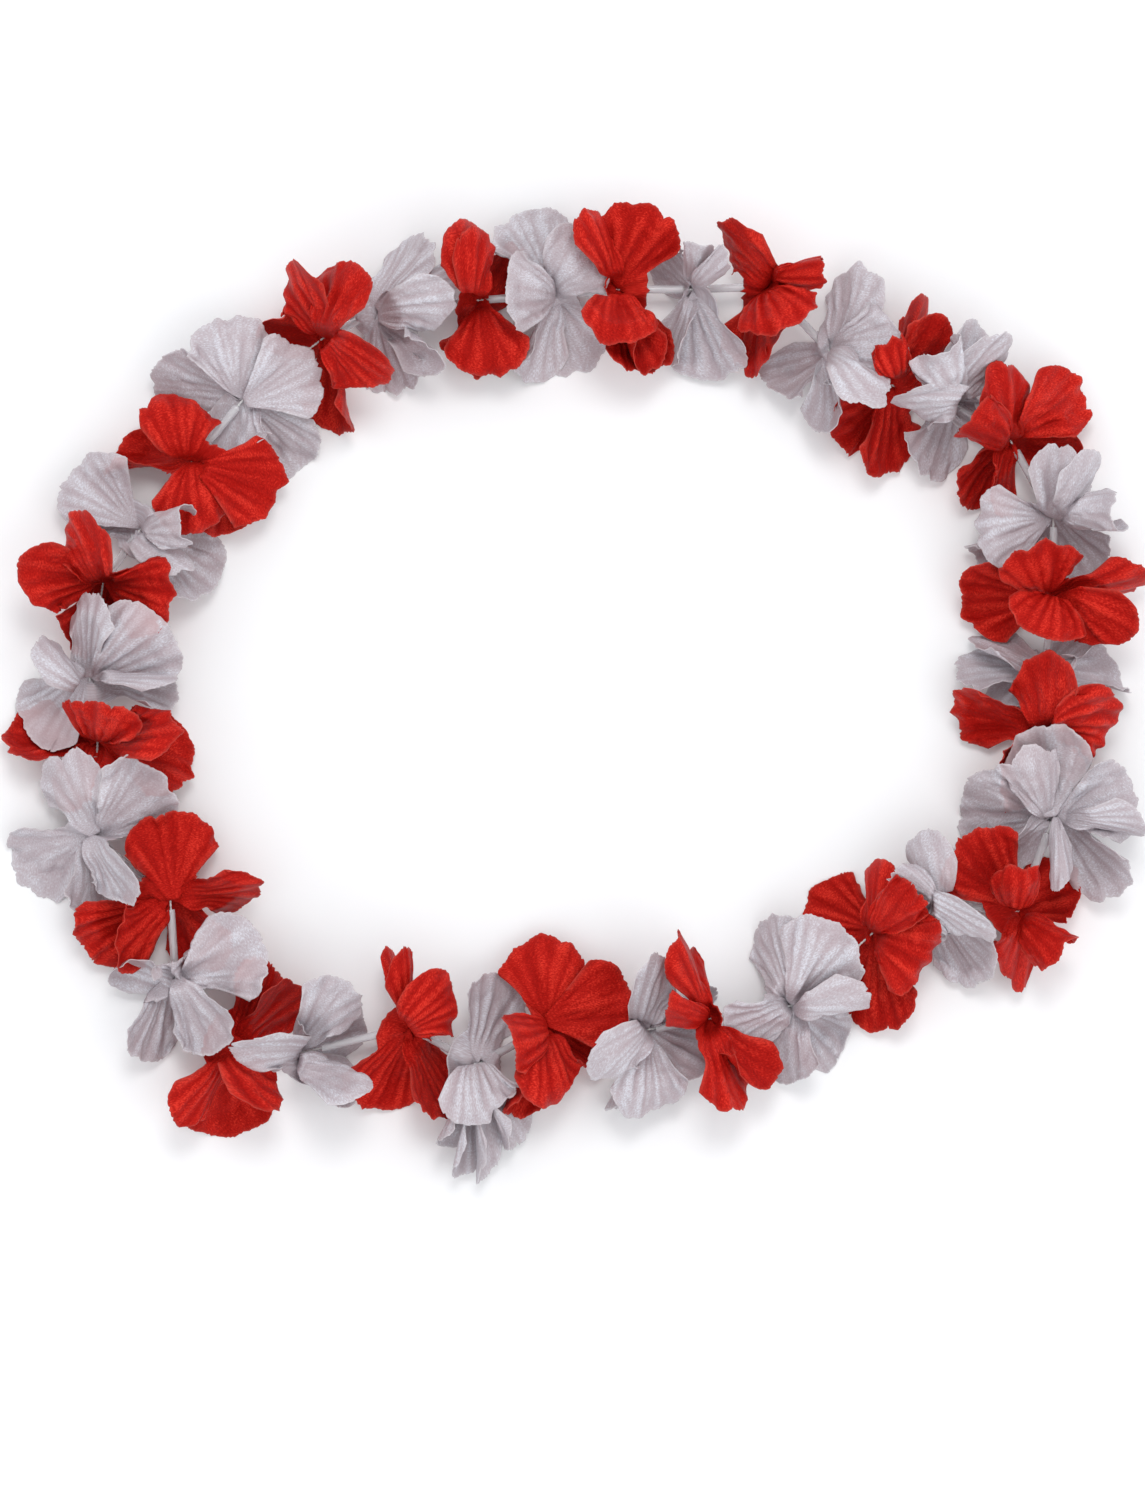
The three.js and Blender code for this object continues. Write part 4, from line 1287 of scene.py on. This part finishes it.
    def _clear_of_thread(self, points: np.ndarray) -> np.ndarray:
        """Keeps cloth off the thread and its tubes where it would cross them.

        Args:
            points: the cloth's points.

        Returns:
            The points, lifted over the thread or lowered under it.
        """
        points = points.copy()
        offset = points - self.hub.point
        for way in self.ways:
            ahead = offset[..., :2] @ way[:2]
            beside = np.abs(offset[..., 0] * way[1] - offset[..., 1] * way[0])
            near = smoothstep(beside, *self.thread_beside) * smoothstep(ahead, *self.thread_ahead)
            by_thread, by_tube = self.thread_reach
            reach = by_thread + by_tube * smoothstep(ahead, *self.tube_ahead)
            over = near * np.maximum(0, reach - offset[..., 2])
            under = near * np.minimum(0, -reach - offset[..., 2])
            points[..., 2] += np.where(offset[..., 2] > self.under_from, over, under)
        return points

    def mesh(self) -> bpy.types.Mesh:
        """Makes the bloom's one sheet of cloth from its patches.

        Returns:
            The mesh, in metres, with its attributes and maps.
        """
        bm = bmesh.new()
        picks = []
        for patch in self.patches:
            tall, wide = patch.crest.shape
            made = bmesh.ops.create_grid(bm, x_segments=wide - 1, y_segments=tall - 1, size=1.0)
            spots = np.array([vertex.co[:2] for vertex in made["verts"]])
            column = np.rint((spots[:, 0] + 1) / 2 * (wide - 1)).astype(int)
            row = np.rint((spots[:, 1] + 1) / 2 * (tall - 1)).astype(int)
            picks.append((row, column))
        mesh = finished(bm, self.node)

        def joined(name: str) -> np.ndarray:
            """One value of every patch, in the order of the mesh's vertices."""
            values = [getattr(patch, name)[pick] for patch, pick in zip(self.patches, picks)]
            return np.concatenate(values)

        mesh.vertices.foreach_set("co", (joined("points") * MM).astype(np.float32).ravel())
        for name in ("crest", "edge"):
            values = joined(name).astype(np.float32)
            mesh.attributes.new(name, "FLOAT", "POINT").data.foreach_set("value", values)
        corners = np.zeros(len(mesh.loops), int)
        mesh.loops.foreach_get("vertex_index", corners)
        for name in ("cloth", "rays"):
            layer = mesh.uv_layers.new(name=name)
            layer.data.foreach_set("uv", joined(name)[corners].astype(np.float32).ravel())
        whole = bmesh.new()
        whole.from_mesh(mesh)
        bmesh.ops.remove_doubles(whole, verts=whole.verts, dist=self.same_point)
        whole.to_mesh(mesh)
        whole.free()
        smooth(mesh)
        return mesh


@dataclass
class Thread:
    """The thread, twisted of two plies, round the whole loop, in mm."""

    stations: list[np.ndarray]
    ply_radius: float = 0.21
    ply_offset: float = 0.2
    plies: int = 2
    twist: float = 2.6
    step: float = 0.35

    def build(self) -> bpy.types.Object:
        """Makes the thread.

        Returns:
            The thread's piece.
        """
        stops = np.array(self.stations + self.stations[:1])
        lengths = np.linalg.norm(np.diff(stops, axis=0), axis=1)
        marks = np.concatenate([[0], np.cumsum(lengths)])
        count = int(marks[-1] / self.step)
        turns = round(marks[-1] / self.twist)
        spots = np.linspace(0, marks[-1], count, endpoint=False)
        line = [np.interp(spots, marks, stops[:, axis]) for axis in range(3)]
        line = np.stack(line, axis=-1)
        ahead = unit(np.roll(line, -1, axis=0) - np.roll(line, 1, axis=0))
        aside = unit(np.cross(ahead, UP))
        above = np.cross(aside, ahead)
        curve = bpy.data.curves.new("thread_plies", "CURVE")
        curve.dimensions = "3D"
        curve.bevel_depth = self.ply_radius * MM
        curve.bevel_resolution = 1
        for ply in range(self.plies):
            angle = FULL_TURN * turns * spots / marks[-1] + ply * FULL_TURN / self.plies
            offset = aside * np.cos(angle)[:, None] + above * np.sin(angle)[:, None]
            spline = curve.splines.new("POLY")
            spline.points.add(count - 1)
            centres = (line + offset * self.ply_offset) * MM
            points = np.concatenate([centres, np.ones((count, 1))], axis=1)
            spline.points.foreach_set("co", points.astype(np.float32).ravel())
            spline.use_cyclic_u = True
        drawn = show("thread_plies", curve)
        bpy.context.view_layer.update()
        graph = bpy.context.evaluated_depsgraph_get()
        mesh = bpy.data.meshes.new_from_object(drawn.evaluated_get(graph))
        bpy.data.objects.remove(drawn)
        smooth(mesh)
        return show("lei_thread", mesh)


@dataclass
class Tube:
    """One clear tube on the thread, in mm."""

    number: int
    start: np.ndarray
    end: np.ndarray
    radius: float = 1.5
    wall: float = 0.22
    sides: int = 28
    spans: int = 3
    sharp_angle: float = math.radians(50)

    def build(self) -> bpy.types.Object:
        """Makes the tube, open at both ends.

        Returns:
            The tube's piece.
        """
        span = Vector((self.end - self.start) * MM)
        turned = span.to_track_quat("Z", "Y").to_matrix().to_4x4()
        bm = bmesh.new()
        bmesh.ops.create_circle(bm, segments=self.sides, radius=self.radius * MM)
        edges = list(bm.edges)
        for _ in range(self.spans):
            grown = bmesh.ops.extrude_edge_only(bm, edges=edges)
            moved = [item for item in grown["geom"] if isinstance(item, bmesh.types.BMVert)]
            bmesh.ops.translate(bm, verts=moved, vec=Vector((0, 0, span.length / self.spans)))
            edges = [item for item in grown["geom"] if isinstance(item, bmesh.types.BMEdge)]
        bmesh.ops.recalc_face_normals(bm, faces=bm.faces)
        bmesh.ops.solidify(bm, geom=list(bm.faces), thickness=self.wall * MM)
        placed = Matrix.Translation(Vector(self.start * MM)) @ turned
        bmesh.ops.transform(bm, matrix=placed, verts=bm.verts)
        bmesh.ops.recalc_face_normals(bm, faces=bm.faces)
        mesh = finished(bm, f"clear_tube_{self.number:02d}")
        smooth(mesh)
        tube = show(mesh.name, mesh)
        sharp = tube.modifiers.new("rims", "EDGE_SPLIT")
        sharp.split_angle = self.sharp_angle
        return tube


@dataclass
class Lei:
    """The whole lei: blooms, thread and tubes.

    Lengths are in mm. What has to do with the finished meshes is in metres: blush_reach,
    blush_start, petal_area and disc_width.
    """

    cut: PetalCut = field(default_factory=PetalCut)
    hub_height: float = 12.0
    widest_root: float = math.radians(25)
    longest_tube: float = 24.0
    tube_clear: float = 3.4
    tube_radius: float = 1.5
    thread_radius: float = 0.5
    root_share: float = 0.42
    root_tilt: float = 0.5
    root_step: float = 2.15
    spread_rounds: int = 60
    # How far and from where the painted red bounce light on white cloth reaches.
    blush_reach: float = 0.012
    blush_rays: float = 3
    blush_start: float = 2e-4
    neighbour_reach: float = 55.0
    petal_area: float = 656e-6
    disc_width: float = 0.068

    def __post_init__(self) -> None:
        """Places the hubs and plans the petals."""
        self.hubs = self._hubs()
        self.laying = Laying(self.cut)
        self.blooms = [self._bloom(place) for place in range(len(BLOOMS))]
        self.stations = self._stations()

    def _hubs(self) -> list[Hub]:
        """Finds the hubs.

        Returns:
            Each bloom's hub on the thread.
        """
        points = [np.array([x, y, self.hub_height]) for (x, y), _, _ in BLOOMS]
        hubs = []
        for place, point in enumerate(points):
            back = unit(point - points[place - 1])
            on = unit(points[(place + 1) % len(points)] - point)
            along = unit(back + on)
            hubs.append(Hub(point, along, unit(np.cross(along, UP))))
        return hubs

    def _root_angles(self, hub: Hub, petals: Sequence[Petal]) -> list[float]:
        """The angle round the thread at which each petal leaves the hub.

        Args:
            hub: the bloom's hub.
            petals: its petals.

        Returns:
            The angles, near the way each petal goes and kept apart.
        """
        half = min(self.widest_root, self.root_share * FULL_TURN / len(petals))
        angles = []
        for petal in petals:
            sideways = (petal.x * hub.aside[0] + petal.y * hub.aside[1]) / petal.reach
            tilt = -self.root_tilt if petal.lay is Lay.REST else self.root_tilt
            angles.append(math.atan2(tilt, sideways))
        order = sorted(range(len(petals)), key=lambda k: angles[k])
        for _ in range(self.spread_rounds):
            for n, k in enumerate(order):
                following = order[(n + 1) % len(order)]
                lap = FULL_TURN if n + 1 == len(order) else 0.0
                short = self.root_step * half - (angles[following] + lap - angles[k])
                if short > 0:
                    angles[k] -= short / 2
                    angles[following] += short / 2
        return angles

    def _bloom(self, place: int) -> Bloom:
        """Plans one bloom.

        Args:
            place: its place round the loop, from 0.

        Returns:
            The bloom, with its petals still to be laid.
        """
        _, lean, petals = BLOOMS[place]
        hub = self.hubs[place]
        plans = []
        for k, (petal, angle) in enumerate(zip(petals, self._root_angles(hub, petals))):
            wave = FULL_TURN * ((GOLDEN_STEP * (BLOOM_STEP * place + k + 1)) % 1)
            plans.append(PetalPlan(petal, hub, lean, angle, wave))
        neighbours = (self.hubs[place - 1], self.hubs[(place + 1) % len(self.hubs)])
        ways = [unit(other.point - hub.point) for other in neighbours]
        hue = Hue.WHITE if place % 2 == 0 else Hue.RED
        return Bloom(place + 1, hue, hub, ways, plans, self.cut)

    def _tube_ends(self, place: int) -> tuple[np.ndarray, np.ndarray]:
        """Where the tube after a bloom starts and ends.

        Args:
            place: the bloom's place round the loop, from 0.

        Returns:
            The two ends.
        """
        hub = self.hubs[place]
        span = self.hubs[(place + 1) % len(self.hubs)].point - hub.point
        length = float(np.linalg.norm(span))
        tube = min(self.longest_tube, length - 2 * self.tube_clear)
        start = hub.point + span * (length - tube) / 2 / length
        return start, hub.point + span * (length + tube) / 2 / length

    def _stations(self) -> list[tuple[np.ndarray, float]]:
        """Follows the thread round the loop.

        Returns:
            Its hubs and tube ends, each with the radius there.
        """
        thin, thick = self.thread_radius, self.tube_radius
        stations = []
        for place, hub in enumerate(self.hubs):
            start, end = self._tube_ends(place)
            stations += [(hub.point, thin), (start, thin), (start, thick)]
            stations += [(end, thick), (end, thin)]
        return stations

    def _mark_thread(self) -> None:
        """Marks the thread and its tubes on the height map."""
        heights = self.laying.heights
        for place, (centre, radius) in enumerate(self.stations):
            following, radius_on = self.stations[(place + 1) % len(self.stations)]
            steps = math.ceil(np.linalg.norm(following - centre) / (heights.cell / 2))
            if steps:
                share = (np.arange(steps) / steps)[:, None]
                points = centre * (1 - share) + following * share
                heights.mark(points[:, 0], points[:, 1], points[:, 2] + min(radius, radius_on))

    def lay(self) -> None:
        """Lays all petals: those that rest on the table, then over the thread the others."""
        solids = {}
        for bloom in self.blooms:
            bm = bmesh.new()
            bm.from_mesh(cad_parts[bloom.node].data)
            solids[bloom.number] = BVHTree.FromBMesh(bm)
            bm.free()
        for lay in (Lay.REST, Lay.LIE, Lay.RISE):
            for number in LAY_ORDER:
                bloom = self.blooms[number - 1]
                for plan in bloom.plans:
                    if plan.petal.lay is lay:
                        self.laying.lay(plan, solids[number])
            if lay is Lay.REST:
                self._mark_thread()
        worst = max((plan.off, bloom.node) for bloom in self.blooms for plan in bloom.plans)
        LOG.info("petals follow their solids; the worst is %.2f mm off, in %s", *worst)

    def _lift_clear(self) -> None:
        """Lifts each petal a little off those below, where its folds would dip through them."""
        laid = []
        for lay in (Lay.REST, Lay.LIE, Lay.RISE):
            for number in LAY_ORDER:
                bloom = self.blooms[number - 1]
                for plan, patch in zip(bloom.plans, bloom.patches):
                    if plan.petal.lay is not lay:
                        continue
                    flat = patch.points[..., :2].reshape(-1, 2)
                    low, high = flat.min(axis=0), flat.max(axis=0)
                    below = [grid for grid, least, most in laid
                             if (most > low).all() and (least < high).all()]
                    if below:
                        bloom.lift_over(patch, surface_tree(below))
                    laid.append((patch.points, low, high))

    def _make_cloth(self) -> None:
        """Makes all petals, and then each bloom's webs clear of the blooms round it."""
        for bloom in self.blooms:
            bloom.make_petals()
        self._lift_clear()
        trees = {bloom.number: bloom.cloth_tree() for bloom in self.blooms}
        for number in LAY_ORDER:
            bloom = self.blooms[number - 1]
            near = [trees[other.number] for other in self.blooms if other is not bloom
                    and np.linalg.norm(other.hub.point - bloom.hub.point) < self.neighbour_reach]
            bloom.make_webs(near)
            trees[number] = bloom.cloth_tree()

    def _blush(self, pieces: dict[int, bpy.types.Object]) -> None:
        """Gives each point of white cloth how near red cloth lies below it, for its painted red
        bounce light.

        Args:
            pieces: the blooms' pieces, by number.
        """
        red = bmesh.new()
        for number, piece in pieces.items():
            if self.blooms[number - 1].hue is Hue.RED:
                red.from_mesh(piece.data)
        tree = BVHTree.FromBMesh(red)
        red.free()
        down = Vector((0, 0, -1))
        for number, piece in pieces.items():
            values = []
            for vertex in piece.data.vertices:
                if self.blooms[number - 1].hue is Hue.RED:
                    values.append(0.0)
                    continue
                start = vertex.co - Vector((0, 0, self.blush_start))
                away = tree.ray_cast(start, down, self.blush_reach * self.blush_rays)[3]
                values.append(math.exp(-away / self.blush_reach) if away is not None else 0.0)
            blush = piece.data.attributes.new("blush", "FLOAT", "POINT")
            blush.data.foreach_set("value", values)

    def build(self, satin: dict[Hue, bpy.types.Material], plastic: bpy.types.Material,
              cotton: bpy.types.Material) -> None:
        """Makes every piece, hides the solid it stands in for and hangs it under the root body.

        Args:
            satin: the material of each hue.
            plastic: the tubes' material.
            cotton: the thread's material.
        """
        self.lay()
        self._make_cloth()
        pieces = {bloom.number: show(f"satin_{bloom.node}", bloom.mesh()) for bloom in self.blooms}
        self._blush(pieces)
        for bloom in self.blooms:
            piece = pieces[bloom.number]
            piece.data.materials.append(satin[bloom.hue])
            cloth = piece.modifiers.new("cloth thickness", "SOLIDIFY")
            cloth.thickness = bloom.thickness * MM
            cloth.offset = 0
            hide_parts(bloom.node)
            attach(piece, "root")
        self._add_thread(cotton)
        self._add_tubes(plastic)

    def _add_thread(self, cotton: bpy.types.Material) -> None:
        """Adds the thread.

        Args:
            cotton: its material.
        """
        thread = Thread([point for point, _ in self.stations]).build()
        thread.data.materials.clear()
        thread.data.materials.append(cotton)
        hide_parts("thread_with_tubes")
        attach(thread, "root")
        LOG.info("%s: %d faces", thread.name, len(thread.data.polygons))

    def _add_tubes(self, plastic: bpy.types.Material) -> None:
        """Adds a tube after each bloom.

        Args:
            plastic: their material.
        """
        for place in range(len(BLOOMS)):
            tube = Tube(place + 1, *self._tube_ends(place)).build()
            tube.data.materials.append(plastic)
            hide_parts("thread_with_tubes")
            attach(tube, "root")
        LOG.info("%d clear tubes", len(BLOOMS))


@dataclass(frozen=True)
class Lamp:
    """A square lamp that faces the lei, in metres and watts."""

    name: str
    place: tuple[float, float, float]
    size: float
    watts: float

    def add(self) -> None:
        """Puts the lamp in the scene."""
        data = bpy.data.lights.new(self.name, "AREA")
        data.size = self.size
        data.energy = self.watts
        lamp = show(self.name, data)
        lamp.location = self.place
        lamp.rotation_euler = (-Vector(self.place)).to_track_quat("-Z", "Y").to_euler()


@dataclass
class Studio:
    """The table, the lights and the camera, in metres."""

    view_centre: tuple[float, float] = (-0.0006, -0.0211)
    view_height: float = 0.5565
    distance: float = 2.4
    middle: float = 0.015
    sensor: float = 24.0
    far_clip: float = 50
    lamps: tuple[Lamp, ...] = (Lamp("key", (0.1, 0.85, 2.0), 0.6, 12.0),
                               Lamp("fill", (1.0, -0.6, 1.6), 1.6, 5.0))
    room: Colour = (0.95, 0.97, 1.0, 1.0)
    room_strength: float = 1.0
    table_reach: float = 6.0
    table_squares: int = 4

    def camera(self) -> None:
        """A camera that looks straight down on the lei, with +Y up the picture."""
        data = bpy.data.cameras.new("overhead")
        data.sensor_fit = "VERTICAL"
        data.sensor_height = self.sensor
        data.sensor_width = self.sensor
        data.lens = self.sensor * self.distance / self.view_height
        data.clip_end = self.far_clip
        camera = show("overhead", data)
        camera.location = (*self.view_centre, self.middle + self.distance)
        bpy.context.scene.camera = camera

    def light(self) -> None:
        """Soft light from the top of the picture and from its lower right, in a pale room."""
        for lamp in self.lamps:
            lamp.add()
        world = bpy.data.worlds.new("pale_room")
        world.use_nodes = True
        background = world.node_tree.nodes["Background"]
        background.inputs["Color"].default_value = self.room
        background.inputs["Strength"].default_value = self.room_strength
        bpy.context.scene.world = world

    def table(self, material: bpy.types.Material) -> None:
        """A wide table top at z = 0.

        Args:
            material: its material.
        """
        bm = bmesh.new()
        bmesh.ops.create_grid(bm, x_segments=self.table_squares, y_segments=self.table_squares,
                              size=self.table_reach)
        mesh = finished(bm, "table_top")
        mesh.materials.append(material)
        show("table_top", mesh)


def main() -> None:
    """Builds the scene in order."""
    logging.basicConfig(level=logging.INFO, format="%(name)s: %(message)s")
    bpy.context.scene.view_settings.view_transform = "Standard"
    studio = Studio()
    studio.camera()
    studio.light()
    studio.table(TableFinish().build())
    # In each satin the valley colour is painted shade, the crest colour a painted highlight and the
    # colour over red cloth painted red bounce light; face and edge are the cloth's own colours.
    satin = {
        Hue.RED: SatinFinish(
            "red_satin_cloth", fold=(0.28, 0.005, 0.004, 1), face=(0.42, 0.010, 0.007, 1),
            shine=(0.68, 0.036, 0.022, 1), edge=(0.52, 0.08, 0.06, 1), blush=(0.36, 0.01, 0.01, 1),
            gloss=(1.0, 0.15, 0.12, 1), specular=0.22),
        Hue.WHITE: SatinFinish(
            "white_satin_cloth", fold=(0.42, 0.34, 0.365, 1), face=(0.49, 0.44, 0.468, 1),
            shine=(0.635, 0.63, 0.68, 1), edge=(0.66, 0.62, 0.63, 1), blush=(0.46, 0.30, 0.31, 1),
            gloss=(1.0, 1.0, 1.0, 1)),
    }
    materials = {hue: finish.build() for hue, finish in satin.items()}
    lei = Lei()
    lei.build(materials, ClearPlasticFinish().build(), ThreadFinish().build())


if __name__ == "__main__":
    main()
